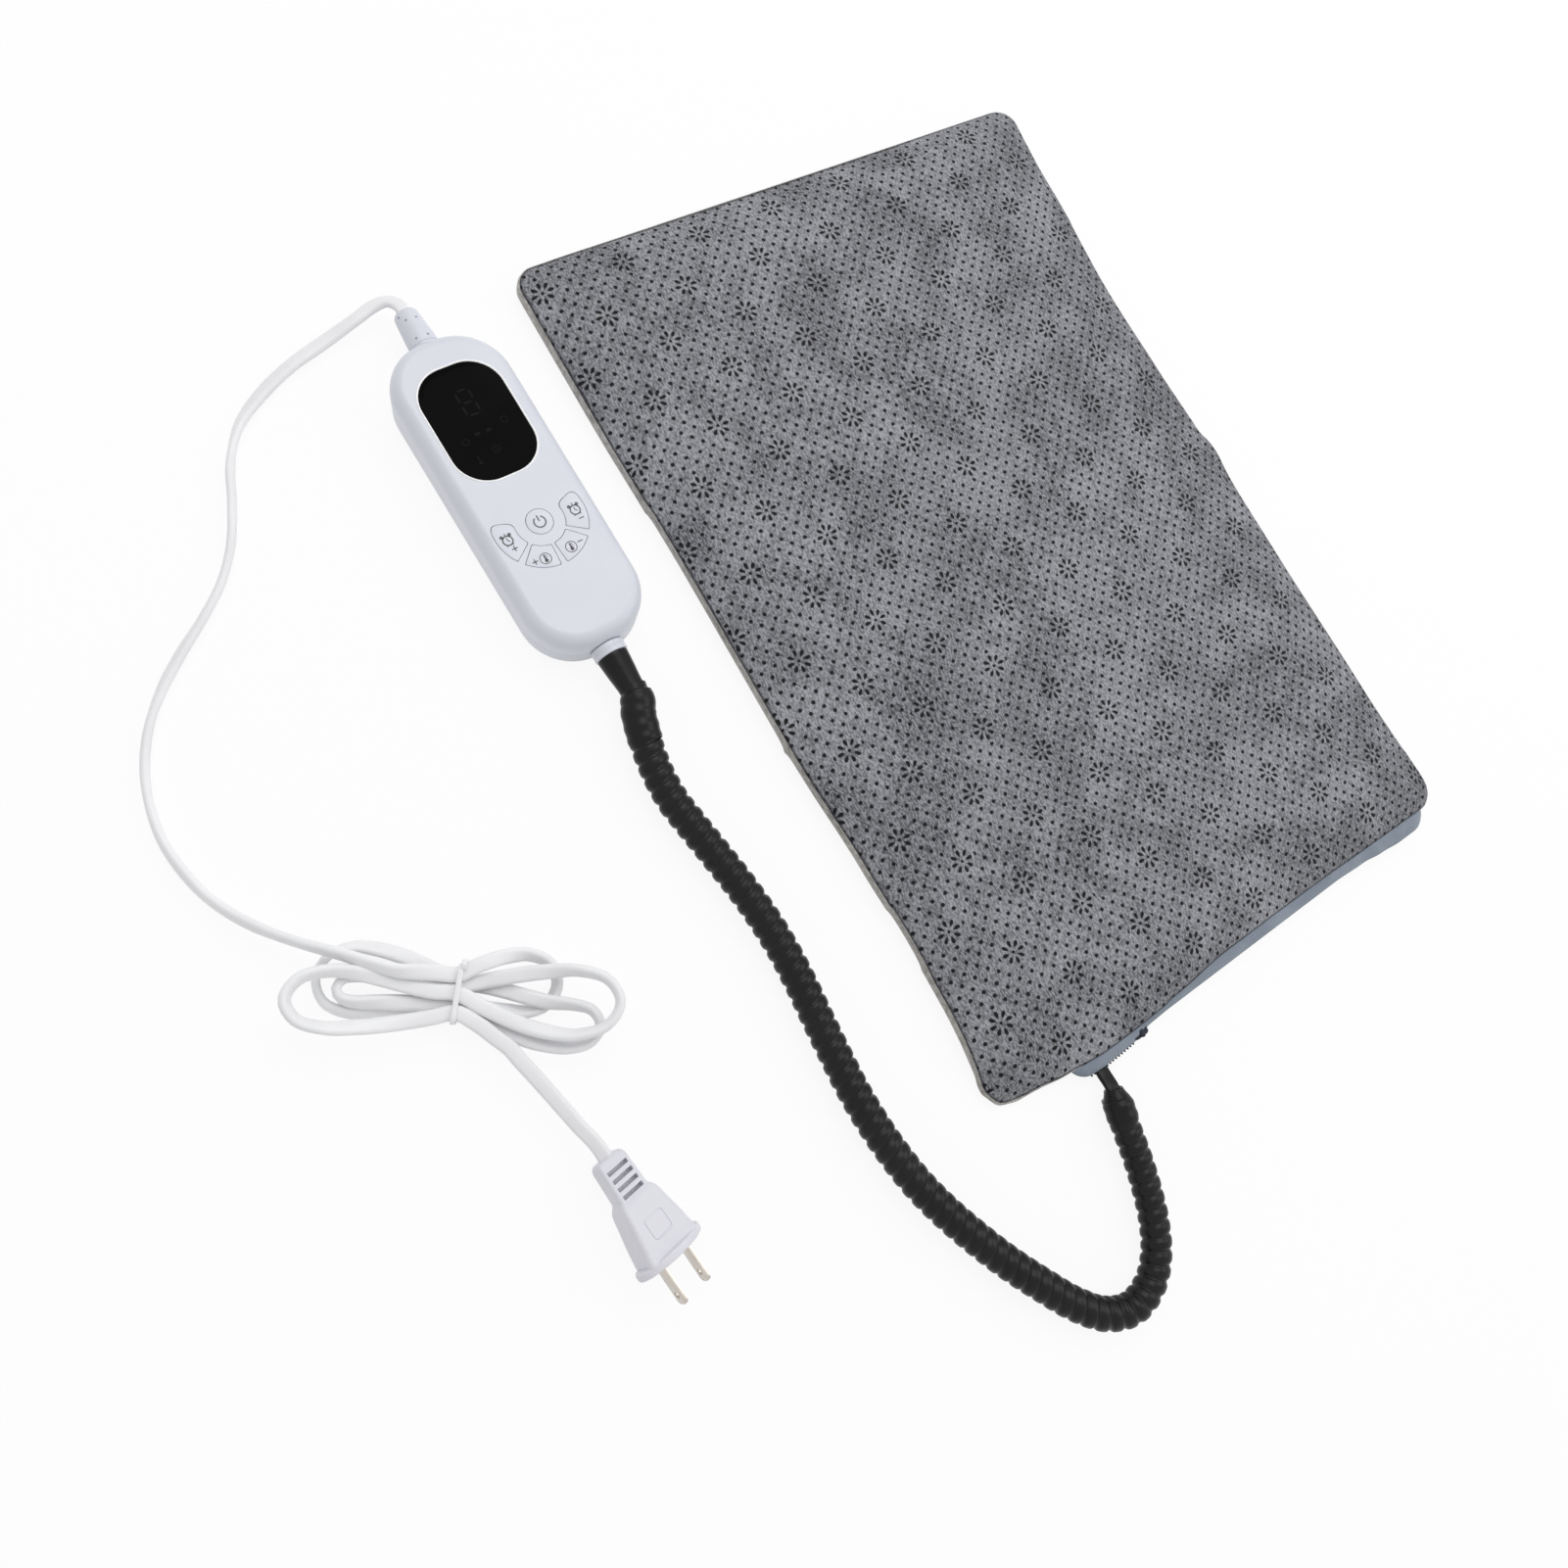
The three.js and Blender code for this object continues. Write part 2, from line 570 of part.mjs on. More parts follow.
function zipTeeth() {
  const count = Math.floor((zipRight - lowerLeft) / TEETH_PITCH);
  const shape = new THREE.Shape();
  const low = -TEETH_WIDTH / 2;
  shape.moveTo(0, TEETH_WIDTH / 2);
  for (let i = 0; i < count; i++) {
    shape.lineTo(i * TEETH_PITCH, low);
    shape.lineTo((i + 0.5) * TEETH_PITCH, low + TEETH_DEPTH);
  }
  shape.lineTo(count * TEETH_PITCH, low);
  shape.lineTo(count * TEETH_PITCH, TEETH_WIDTH / 2);
  return prism(shape, teethLow, teethLow + TEETH_HEIGHT);
}
const teeth = part('zip_teeth', zipTeeth(), BLUE_TAPE, pad);
teeth.position.set(lowerLeft, zipY(lowerLeft), 0);
teeth.rotation.z = ZIP_TURN;

function zipSlider() {
  const slopeRise = (SEAM_HEIGHT - tapeLow) / (ZIP_OUT + TAPE_TUCK) * SLIDER_DEPTH / 2;
  const low = LOWER_TAPE_HEIGHT - SLIDER_CLEAR;
  const high = tapeLow + TAPE + slopeRise + SLIDER_CLEAR;
  const outer = -TEETH_WIDTH / 2 - SLIDER_CLEAR;
  const inner = outer + SLIDER_DEPTH - SLIDER_WALL;
  const jaw = [[inner, low - SLIDER_WALL], [outer, low - SLIDER_WALL], [outer - SLIDER_WALL, low],
    [outer - SLIDER_WALL, high], [outer, high + SLIDER_WALL], [inner, high + SLIDER_WALL],
    [inner, high], [outer, high], [outer, low], [inner, low]];
  const shape = new THREE.Shape(jaw.map(([y, z]) => new THREE.Vector2(y, z)));
  const body = prism(shape, -SLIDER_LENGTH / 2, SLIDER_LENGTH / 2);
  // the section's own X and Y become Y and Z, and its depth runs along the zip
  const turned = new THREE.Matrix4().makeBasis(
    new THREE.Vector3(0, 1, 0), new THREE.Vector3(0, 0, 1), new THREE.Vector3(1, 0, 0));
  return body.applyMatrix4(turned);
}
const sliderX = zipLeft + SLIDER_FROM_END;
const slider = part('zip_slider', zipSlider(), DARK_METAL, pad);
slider.position.set(sliderX, zipY(sliderX), 0);
slider.rotation.z = ZIP_TURN;

// Controller: two shells with the board, display, switches and keys between them
const controller = new THREE.Group();
controller.position.set(CTRL_X, CTRL_Y, 0);
controller.rotation.z = CTRL_TURN;
heatingPad.add(controller);
controller.updateMatrix();
const fromController = (x, y, z) => new THREE.Vector3(x, y, z).applyMatrix4(controller.matrix);

const exitZ = PARTING + GAP / 2;
const shellEnd = CTRL_LENGTH / 2;
const shellRing = (inset, z) => rectRing(CTRL_WIDTH - 2 * inset, CTRL_LENGTH - 2 * inset,
  CTRL_CORNER - inset, z, { corner: 6 });

// Rings of a soft edge that turns in and up to a face.
function softEdge(inset, face, edgeIn, edgeUp, steps = 4) {
  const rings = [];
  for (let i = 0; i <= steps; i++) {
    const turn = Math.PI / 2 * i / steps;
    rings.push(shellRing(inset + edgeIn * (1 - Math.cos(turn)), face - edgeUp * (1 - Math.sin(turn))));
  }
  return rings;
}

// The holes at both ends, split by the parting line, that the boot and the collar are caught in.
function endHoles() {
  const reach = CTRL_CORNER;
  return [[1, BOOT_NECK], [-1, COLLAR_NECK]].map(([end, neck]) =>
    new THREE.CylinderGeometry(neck + GAP, neck + GAP, 2 * reach, 20).translate(0, end * shellEnd, exitZ));
}

const screwSpots = [[1, 1], [-1, 1], [-1, -1], [1, -1]].map(([x, y]) => [x * SCREW_X, y * SCREW_Y]);

const degrees = THREE.MathUtils.degToRad;
const SECTORS = [
  { name: 'time_plus', from: -110, to: -55, corners: [3.4, 0.8] },
  { name: 'heat_plus', from: -46, to: -4, corners: [0.8, 0.8] },
  { name: 'heat_minus', from: 4, to: 46, corners: [0.8, 0.8] },
  { name: 'time_minus', from: 55, to: 110, corners: [0.8, 3.4] },
];

// A ring sector with rounded corners; angles run from the controller's lower end.
function sectorShape({ from, to, corners }, grow) {
  const [inner, outer] = [SECTOR_IN - grow, SECTOR_OUT + grow];
  const spot = (radius, angle) => new THREE.Vector2(radius * Math.sin(angle), -radius * Math.cos(angle));
  const edge = (angle, side, radius) => angle + side * grow / radius;
  const ends = { low: degrees(from), high: degrees(to) };
  const shape = new THREE.Shape();
  const path = [
    [outer, edge(ends.low, -1, outer), corners[0], 1], [outer, edge(ends.high, 1, outer), corners[1], -1],
    [inner, edge(ends.high, 1, inner), corners[1], -1], [inner, edge(ends.low, -1, inner), corners[0], 1],
  ];
  const [o0, o1, i1, i0] = path.map(([radius, angle, corner, side]) => ({
    corner: spot(radius, angle),
    round: angle + side * corner / radius,
    along: spot(radius + (radius === outer ? -corner : corner), angle),
    radius,
  }));
  const arc = (a, b) =>
    shape.absarc(0, 0, a.radius, a.round - Math.PI / 2, b.round - Math.PI / 2, a.round > b.round);
  shape.moveTo(o0.along.x, o0.along.y);
  shape.quadraticCurveTo(o0.corner.x, o0.corner.y, ...spot(outer, o0.round).toArray());
  arc(o0, o1);
  shape.quadraticCurveTo(o1.corner.x, o1.corner.y, o1.along.x, o1.along.y);
  shape.lineTo(i1.along.x, i1.along.y);
  shape.quadraticCurveTo(i1.corner.x, i1.corner.y, ...spot(inner, i1.round).toArray());
  arc(i1, i0);
  shape.quadraticCurveTo(i0.corner.x, i0.corner.y, i0.along.x, i0.along.y);
  return shape;
}

function roundShape(radius) {
  return new THREE.Shape().absarc(0, 0, radius, 0, 2 * Math.PI);
}

const middleOf = ({ from, to }) => {
  const angle = degrees((from + to) / 2);
  const radius = (SECTOR_IN + SECTOR_OUT) / 2;
  return [radius * Math.sin(angle), KEYS_Y - radius * Math.cos(angle)];
};
const KEYS = [
  { name: 'power', shape: (grow) => roundShape(POWER_RADIUS + grow), middle: [0, KEYS_Y] },
  ...SECTORS.map((sector) => ({
    name: sector.name, shape: (grow) => sectorShape(sector, grow), middle: middleOf(sector),
  })),
];

function controllerFront() {
  const low = PARTING + GAP;
  const inside = CTRL_HEIGHT - CTRL_FACE;
  const outer = loft([shellRing(0, low), ...softEdge(0, CTRL_HEIGHT, FRONT_EDGE_IN, FRONT_EDGE_DOWN)]);
  const hollow = loft([shellRing(CTRL_WALL, low - OVERCUT),
    ...softEdge(CTRL_WALL, inside, FRONT_EDGE_IN, FRONT_EDGE_DOWN)]);
  const bosses = screwSpots.map(([x, y]) => post(x, y, BOARD_TOP + GAP, inside + CTRL_FACE / 2, BOSS_RADIUS));
  const pilots = screwSpots.map(([x, y]) =>
    post(x, y, low, SCREW_DEEP + SCREW_LENGTH + GAP, SCREW_RADIUS + GAP, 8));
  const ledge = CTRL_HEIGHT - WINDOW_THICK - GAP;
  const seat = roundedRect(WINDOW_WIDTH + 2 * GAP, WINDOW_LENGTH + 2 * GAP, WINDOW_CORNER + GAP);
  const through = roundedRect(WINDOW_WIDTH - 2 * WINDOW_LEDGE, WINDOW_LENGTH - 2 * WINDOW_LEDGE,
    WINDOW_CORNER - WINDOW_LEDGE);
  const keyHoles = KEYS.map(({ shape }) =>
    prism(shape(KEY_GAP), inside - OVERCUT, CTRL_HEIGHT + OVERCUT).translate(0, KEYS_Y, 0));
  return cut(join(cut(outer, hollow), ...bosses), ...pilots, ...endHoles(), ...keyHoles,
    prism(seat, ledge, CTRL_HEIGHT + OVERCUT).translate(0, WINDOW_Y, 0),
    prism(through, inside - OVERCUT, CTRL_HEIGHT).translate(0, WINDOW_Y, 0));
}
part('controller_front', controllerFront(), WHITE_SHELL, controller);

function controllerBack() {
  const outer = loft([...softEdge(0, 0, BACK_EDGE, -BACK_EDGE).reverse(), shellRing(0, PARTING)]);
  const hollow = loft([...softEdge(CTRL_WALL, CTRL_WALL, BACK_EDGE, -BACK_EDGE).reverse(),
    shellRing(CTRL_WALL, PARTING + OVERCUT)]);
  const boardLow = BOARD_TOP - BOARD_THICK;
  const posts = screwSpots.map(([x, y]) => post(x, y, CTRL_WALL / 2, boardLow - GAP, BOSS_RADIUS));
  const bores = screwSpots.map(([x, y]) => post(x, y, -OVERCUT, boardLow, SCREW_RADIUS + GAP, 8));
  const headTop = SCREW_DEEP + GAP;
  const sinks = screwSpots.map(([x, y]) => post(x, y, -OVERCUT, headTop, SCREW_HEAD + GAP));
  return cut(join(cut(outer, hollow), ...posts), ...bores, ...sinks, ...endHoles());
}
part('controller_back', controllerBack(), WHITE_SHELL, controller);

const windowTop = CTRL_HEIGHT;
part('display_window', prism(roundedRect(WINDOW_WIDTH, WINDOW_LENGTH, WINDOW_CORNER),
  windowTop - WINDOW_THICK, windowTop).translate(0, WINDOW_Y, 0), GLOSS_BLACK, controller);
const displayTop = windowTop - WINDOW_THICK - 2 * GAP;
part('display_module', prism(roundedRect(DISPLAY_WIDTH, DISPLAY_LENGTH, 1), BOARD_TOP + GAP, displayTop, 1)
  .translate(0, WINDOW_Y, 0), GREY_PART, controller);

function circuitBoard() {
  const board = prism(roundedRect(BOARD_WIDTH, BOARD_LENGTH, BOARD_CORNER), BOARD_TOP - BOARD_THICK, BOARD_TOP);
  const holes = screwSpots.map(([x, y]) =>
    post(x, y, BOARD_TOP - BOARD_THICK - OVERCUT, BOARD_TOP + OVERCUT, SCREW_RADIUS + GAP, 8));
  return cut(board, ...holes);
}
part('circuit_board', circuitBoard(), BOARD_GREEN, controller);

// Keys on their switches: each key is a cap in the face with a stem over its switch
const switchTop = BOARD_TOP + GAP + SWITCH_BODY + SWITCH_PLUNGER;
const keyTop = CTRL_HEIGHT + KEY_PROUD;
const keyLow = keyTop - KEY_THICK;
for (const { name, shape, middle } of KEYS) {
  const [x, y] = middle;
  const cap = prism(shape(0), keyLow, keyTop).translate(0, KEYS_Y, 0);
  const stem = post(x, y, switchTop + GAP + KEY_TRAVEL, keyLow + KEY_THICK / 2, STEM_RADIUS, 10);
  part(`key_${name}`, join(cap, stem), WHITE_SHELL, controller);
  const bodyTop = BOARD_TOP + GAP + SWITCH_BODY;
  const body = box(x, y, BOARD_TOP + GAP + SWITCH_BODY / 2, SWITCH_SIZE, SWITCH_SIZE, SWITCH_BODY);
  const plunger = post(x, y, bodyTop - SWITCH_BODY / 2, switchTop, STEM_RADIUS, 10);
  part(`switch_${name}`, join(body, plunger), GREY_PART, controller);
}

// Supply parts under the board
const underBoard = BOARD_TOP - BOARD_THICK - GAP;
const hang = ({ x, y, width, length, height }) => box(x, y, underBoard - height / 2, width, length, height);
part('mains_capacitor', hang(MAINS_CAPACITOR), GREY_PART, controller);
part('triac', hang(TRIAC), GREY_PART, controller);
part('supply_capacitor', post(SUPPLY_CAPACITOR.x, SUPPLY_CAPACITOR.y, underBoard - SUPPLY_CAPACITOR.height,
  underBoard, SUPPLY_CAPACITOR.radius), GREY_PART, controller);
part('fuse', new THREE.CylinderGeometry(FUSE.radius, FUSE.radius, FUSE.length, 10)
  .translate(FUSE.x, FUSE.y, underBoard - FUSE.radius), STEEL, controller);

screwSpots.forEach(([x, y], i) => {
  const head = post(x, y, SCREW_DEEP - SCREW_HEAD_THICK, SCREW_DEEP, SCREW_HEAD);
  const shank = post(x, y, SCREW_DEEP - SCREW_HEAD_THICK / 2, SCREW_DEEP + SCREW_LENGTH, SCREW_RADIUS, 8);
  part(`screw_${i + 1}`, join(head, shank), STEEL, controller);
});

// The boot of the mains cord, caught in the upper end wall
function mainsBoot() {
  const [inner, wall] = [-CTRL_WALL - FLANGE_SET, BOOT_NECK + FLANGE];
  const ring = 1.6;
  const groove = 0.5;
  return lathe([[0, inner - FLANGE_THICK], [wall, inner - FLANGE_THICK], [wall, inner], [BOOT_NECK, inner],
    [BOOT_NECK, GAP], [BOOT_BASE, GAP], [BOOT_BASE, ring], [BOOT_BASE - groove, ring + groove / 2],
    [BOOT_BASE - groove, ring + groove], [BOOT_BASE - groove / 3, ring + 2 * groove],
    [BOOT_TIP, BOOT_LENGTH - 1], [BOOT_TIP - 1, BOOT_LENGTH], [0, BOOT_LENGTH]]);
}
part('mains_boot', mainsBoot(), WHITE_SHELL, controller).position.set(0, shellEnd, exitZ);

// The twin lead from the boot's inner end to the board
const bootInside = shellEnd - CTRL_WALL - FLANGE_SET - FLANGE_THICK - GAP;
const capacitorEnd = MAINS_CAPACITOR.y + MAINS_CAPACITOR.length / 2 + GAP;
const innerLead = smoothRoute([
  new THREE.Vector3(0, bootInside, exitZ),
  new THREE.Vector3(0, bootInside - CORD_WIDTH, exitZ),
  new THREE.Vector3(MAINS_CAPACITOR.x, capacitorEnd + CORD_WIDTH, underBoard - CORD_THICK / 2),
  new THREE.Vector3(MAINS_CAPACITOR.x, capacitorEnd, underBoard - CORD_THICK / 2),
], 8);
const innerSection = flatOval(CORD_THICK + 1, CORD_THICK - 0.6, 8);
part('mains_inner_lead', tube(innerLead, innerSection), WHITE_CORD, controller);

// The collar that the lead's sleeve starts at, caught in the lower end wall
function hoseCollar() {
  const [inner, wall] = [CTRL_WALL + FLANGE_SET, COLLAR_NECK + FLANGE];
  const groove = 0.5;
  return lathe([[LEAD_BORE, -COLLAR_LENGTH], [COLLAR_BASE - groove, -COLLAR_LENGTH],
    [COLLAR_BASE, -COLLAR_LENGTH / 2 - groove], [COLLAR_BASE - groove, -COLLAR_LENGTH / 2],
    [COLLAR_BASE, -COLLAR_LENGTH / 2 + groove], [COLLAR_BASE, -GAP], [COLLAR_NECK, -GAP], [COLLAR_NECK, inner],
    [wall, inner], [wall, inner + FLANGE_THICK], [LEAD_BORE, inner + FLANGE_THICK],
    [LEAD_BORE, -COLLAR_LENGTH]]);
}
part('hose_collar', hoseCollar(), WHITE_SHELL, controller).position.set(0, -shellEnd, exitZ);

// Tapered sleeve from the collar to the hose
const sleeveStart = -shellEnd - COLLAR_LENGTH - GAP;
const sleeveEnd = sleeveStart - SLEEVE_LENGTH;
const sleeve = part('lead_sleeve', lathe([[LEAD_BORE, -SLEEVE_LENGTH], [SLEEVE_TIP, -SLEEVE_LENGTH],
  [SLEEVE_TIP, -SLEEVE_LENGTH + SHRINK_NECK + GAP], [COLLAR_BASE - 0.8, 0], [LEAD_BORE, 0],
  [LEAD_BORE, -SLEEVE_LENGTH]]), BLACK_RUBBER, controller);
sleeve.position.set(0, sleeveStart, exitZ);

// Ribbed hose: crests and roots along its route, and its bore back again
const hoseRest = HOSE_RADIUS + TABLE_CLEAR;
const hosePoints = [
  fromController(0, sleeveEnd - GAP, exitZ), fromController(0, sleeveEnd - GAP - 2 * HOSE_RADIUS, exitZ),
  ...HOSE_ROUTE.map(([x, y, lift]) => new THREE.Vector3(x, y, hoseRest + lift)),
];
const hoseCurve = new THREE.CatmullRomCurve3(hosePoints, false, 'centripetal');
const hoseLength = hoseCurve.getLength();
const ribCount = Math.round(hoseLength / HOSE_PITCH);

// The hose's route at a distance along it, which runs on straight past both ends.
function alongHose(distances) {
  const share = distances.map((d) => THREE.MathUtils.clamp(d / hoseLength, 0, 1));
  const ways = share.map((t) => hoseCurve.getTangentAt(t));
  const points = share.map((t, i) =>
    hoseCurve.getPointAt(t).addScaledVector(ways[i], distances[i] - t * hoseLength));
  return new Route(points, [], ways);
}

// A sleeve of the hose's kind, from an outline of distances and radii that closes on itself.
function hoseSkin(outline, sides) {
  return loft(ringsAlong(alongHose(outline.map(([d]) => d)), outline.map(([, r]) => r), sides), true);
}

function leadHose() {
  const outline = [];
  for (let i = 0; i <= 2 * ribCount; i++) {
    outline.push([i * hoseLength / (2 * ribCount), i % 2 === 1 ? HOSE_RADIUS : HOSE_ROOT]);
  }
  const boreSteps = Math.ceil(ribCount / 2);
  for (let i = boreSteps; i >= 0; i--) outline.push([i * hoseLength / boreSteps, HOSE_BORE]);
  return hoseSkin(outline, 8);
}
part('lead_hose', leadHose(), BLACK_RUBBER);

// A sleeve shrunk over a hose end: narrow past the hose, with the ribs showing through where it covers them.
function shrinkSleeve(start, way, neckRadius, neckBore, cover) {
  const bore = HOSE_RADIUS + GAP;
  const top = bore + SHRINK_WALL;
  const pitch = hoseLength / (2 * ribCount);
  const outline = [[-SHRINK_NECK, neckRadius], [0, top - SHRINK_WALL / 2]];
  for (let i = 1; i * pitch < cover; i++) outline.push([i * pitch, i % 2 === 1 ? top + SHRINK_SWELL : top]);
  outline.push([cover, top], [cover, bore]);
  for (let i = Math.ceil(cover / pitch) - 1; i > 0; i--) outline.push([i * pitch, bore]);
  outline.push([-GAP, bore], [-GAP, neckBore], [-SHRINK_NECK, neckBore]);
  return hoseSkin(outline.map(([d, r]) => [start + way * d, r]), 16);
}
const sleeveBore = SLEEVE_TIP + GAP;
part('shrink_controller_end',
  shrinkSleeve(0, 1, sleeveBore + SHRINK_WALL, sleeveBore, SHRINK_START), BLACK_RUBBER);
part('shrink_pad_end',
  shrinkSleeve(hoseLength, -1, LEAD_BORE + SHRINK_WALL, LEAD_BORE, SHRINK_END), BLACK_RUBBER);

// The lead itself, from the controller's board through the hose to the joint in the pad
const jointEnd = tailY - JOINT_WIDTH / 2 - GAP;
const leadPoints = [
  fromController(6, -shellEnd + 26, underBoard - LEAD_THICK / 2 - GAP),
  fromController(1.5, -shellEnd + 16, exitZ + 0.3),
  fromController(0, -shellEnd + 9, exitZ),
  fromController(0, -shellEnd, exitZ),
  fromController(0, sleeveStart, exitZ),
  ...hosePoints,
  ...alongHose([hoseLength + SHRINK_NECK + GAP]).points,
  ...LEAD_INSIDE.map(([inward, z]) => fromPad(leadX, zipY(leadX) + inward, z)),
  fromPad(leadX, padEnd + CORE_INSET, wireZ),
  fromPad(leadX, jointEnd, wireZ),
];
const leadSection = flatOval(LEAD_WIDTH, LEAD_THICK, 8);
part('lead_cable', tube(smoothRoute(leadPoints, LEAD_STEPS), leadSection), BLACK_RUBBER);

// Mains cord: flat twin cord from the boot to a tied hank and on to the plug
const cordCore = CORD_THICK / 2 / Math.cos(Math.PI / 8) + TABLE_CLEAR;
function cordPoint([x, y, lift, roll]) {
  const edge = (CORD_WIDTH - CORD_THICK) / 2 * Math.abs(Math.sin(degrees(roll)));
  return new THREE.Vector3(x, y, cordCore + edge + lift);
}
const column = CORD_WIDTH + HANK_CLEAR;
const cordLayer = CORD_THICK + HANK_CLEAR;
const hankLow = TIE_THICK + 2 * GAP + cordCore;
const hankSpot = (u, v, z) => new THREE.Vector3(
  HANK_X + u * Math.cos(HANK_TURN) - v * Math.sin(HANK_TURN),
  HANK_Y + u * Math.sin(HANK_TURN) + v * Math.cos(HANK_TURN), z);
const slot = ([col, lay]) => ({ v: col * column, z: hankLow + lay * cordLayer });

// One lobe: out along a run, round an elliptical nose and back along another run to the waist.
function lobePoints({ side, reach, nose, out, back, from, to, climb, lag }) {
  const [start, end] = [slot(from), slot(to)];
  const run = reach - nose;
  const ease = (t) => Math.sin(Math.PI / 2 * t);
  const points = [];
  for (let k = 0; k < LOBE_STEPS; k++) {
    const s = k / LOBE_STEPS;
    const rise = THREE.MathUtils.smoothstep(s, climb[0], climb[1]);
    const z = THREE.MathUtils.lerp(start.z, end.z, rise);
    let u;
    let v;
    if (s < LOBE_RUN) {
      u = run * s / LOBE_RUN;
      v = THREE.MathUtils.lerp(start.v, out, ease(u / run) ** lag);
    } else if (s > 1 - LOBE_RUN) {
      u = run * (1 - s) / LOBE_RUN;
      v = THREE.MathUtils.lerp(end.v, back, ease(u / run));
    } else {
      const turn = Math.PI * (s - LOBE_RUN) / (1 - 2 * LOBE_RUN);
      u = run + nose * Math.sin(turn);
      v = (out + back) / 2 + (out - back) / 2 * Math.cos(turn);
    }
    points.push([side * u, v, z]);
  }
  return points;
}

const entry = slot(LOBES[0].from);
const leaving = slot(LOBES.at(-1).to);
const hankEnds = [
  [[-HANK_END, entry.v + 0.7, entry.z + HANK_LIFT], [-HANK_END / 2, entry.v + 0.4, entry.z + HANK_LIFT / 2]],
  [[0, leaving.v, leaving.z], [HANK_END / 2, leaving.v - HANK_END / 4, leaving.z],
    [HANK_END, leaving.v - HANK_END * 0.61, leaving.z]],
];
const hankLine = [...hankEnds[0], ...LOBES.flatMap(lobePoints), ...hankEnds[1]].map((p) => hankSpot(...p));
const hankRoute = new Route(hankLine);
const hankSection = flatOval(CORD_WIDTH, CORD_THICK, 6);
part('mains_cord_hank', tube(hankRoute, hankSection), WHITE_CORD);

// The least distance between stretches of the hank that lie more than three widths apart along it.
function leastGap(route, section) {
  const { normals, binormals } = route.computeFrenetFrames();
  const corners = section.getPoints();
  const outline = corners.flatMap((p, i) => [0, 1, 2].map((k) =>
    p.clone().lerp(corners[(i + 1) % corners.length], k / 3)));
  const coarse = route.points.map((p, i) => outline.map(({ x, y }) =>
    p.clone().addScaledVector(normals[i], x).addScaledVector(binormals[i], y)));
  const rings = [];
  for (let i = 0; i + 1 < coarse.length; i++) {
    const length = route.points[i].distanceTo(route.points[i + 1]);
    for (let k = 0; k < 4; k++) {
      const ring = coarse[i].map((p, j) => p.clone().lerp(coarse[i + 1][j], k / 4));
      rings.push({ ring, along: length / 4, middle: route.points[i].clone().lerp(route.points[i + 1], k / 4) });
    }
  }
  let least = Infinity;
  for (let i = 0; i < rings.length; i++) {
    let apart = 0;
    for (let j = i + 1; j < rings.length; j++) {
      apart += rings[j].along;
      if (apart < 3 * CORD_WIDTH || rings[i].middle.distanceTo(rings[j].middle) > 2 * CORD_WIDTH) continue;
      for (const a of rings[i].ring) {
        for (const b of rings[j].ring) least = Math.min(least, a.distanceToSquared(b));
      }
    }
  }
  return Math.sqrt(least);
}
console.log(`hank: least gap to itself ${leastGap(hankRoute, hankSection).toFixed(2)} mm`);

function cordTie() {
  const width = 2 * (Math.abs(leaving.v) + CORD_WIDTH / 2 + TIE_ROOM);
  const height = 2 * cordLayer + 2 * cordCore + 2 * GAP;
  const band = roundedRect(width + 2 * TIE_THICK, height + 2 * TIE_THICK, 2 + TIE_THICK);
  band.holes.push(new THREE.Path(roundedRect(width, height, 2).getPoints(3).reverse()));
  const turned = new THREE.Matrix4().makeBasis(
    new THREE.Vector3(0, 1, 0), new THREE.Vector3(0, 0, 1), new THREE.Vector3(1, 0, 0));
  const low = hankLow - cordCore - GAP;
  return prism(band, -TIE_WIDTH / 2, TIE_WIDTH / 2, 3).applyMatrix4(turned).translate(0, 0, low + height / 2);
}
const tie = part('cord_tie', cordTie(), WHITE_CORD);
tie.position.set(HANK_X, HANK_Y, 0);
tie.rotation.z = HANK_TURN;

function cordStretch(points, rolls) {
  const length = new THREE.CatmullRomCurve3(points, false, 'centripetal').getLength();
  return tube(smoothRoute(points, Math.ceil(length / CORD_STEP), rolls), flatOval(CORD_WIDTH, CORD_THICK, 8));
}
const bootTip = shellEnd + BOOT_LENGTH + GAP;
const [inA, inB] = [hankEnds[0][0], hankEnds[0][1]].map((p) => hankSpot(...p));
const hankWay = inB.clone().sub(inA).normalize();
part('mains_cord_upper', cordStretch([
  fromController(0, bootTip, exitZ), fromController(0, bootTip + CORD_WIDTH, exitZ - 0.2),
  ...UPPER_ROUTE.map(cordPoint),
  inA.clone().addScaledVector(hankWay, -CORD_WIDTH), inA.clone().addScaledVector(hankWay, -GAP),
], [0, 0, ...UPPER_ROUTE.map((row) => row[3]), 0, 0]), WHITE_CORD);

// Plug: a moulded body lofted from its grip to its flange, with two flat blades
const plug = new THREE.Group();
const flangeReach = Math.hypot(FLANGE_WIDTH / 2 * Math.sin(PLUG_ROLL), FLANGE_HEIGHT / 2 * Math.cos(PLUG_ROLL));
plug.position.set(PLUG_X, PLUG_Y, flangeReach + TABLE_CLEAR);
plug.rotation.set(0, PLUG_ROLL, PLUG_TURN, 'ZYX');
heatingPad.add(plug);
plug.updateMatrix();

function plugRing(y, width, height, radius) {
  return rectRing(width, height, Math.min(radius, height / 2 - 0.05), 0, { corner: 5 })
    .map((p) => new THREE.Vector3(p.x, y, p.y));
}

function flangeRing(y, inset) {
  const ring = [];
  const count = 24;
  for (let i = 0; i < count; i++) {
    const turn = 2 * Math.PI * (i + 0.5) / count;
    ring.push(new THREE.Vector3((FLANGE_WIDTH / 2 - inset) * Math.cos(turn), y,
      (FLANGE_HEIGHT / 2 - inset) * Math.sin(turn)));
  }
  return ring;
}

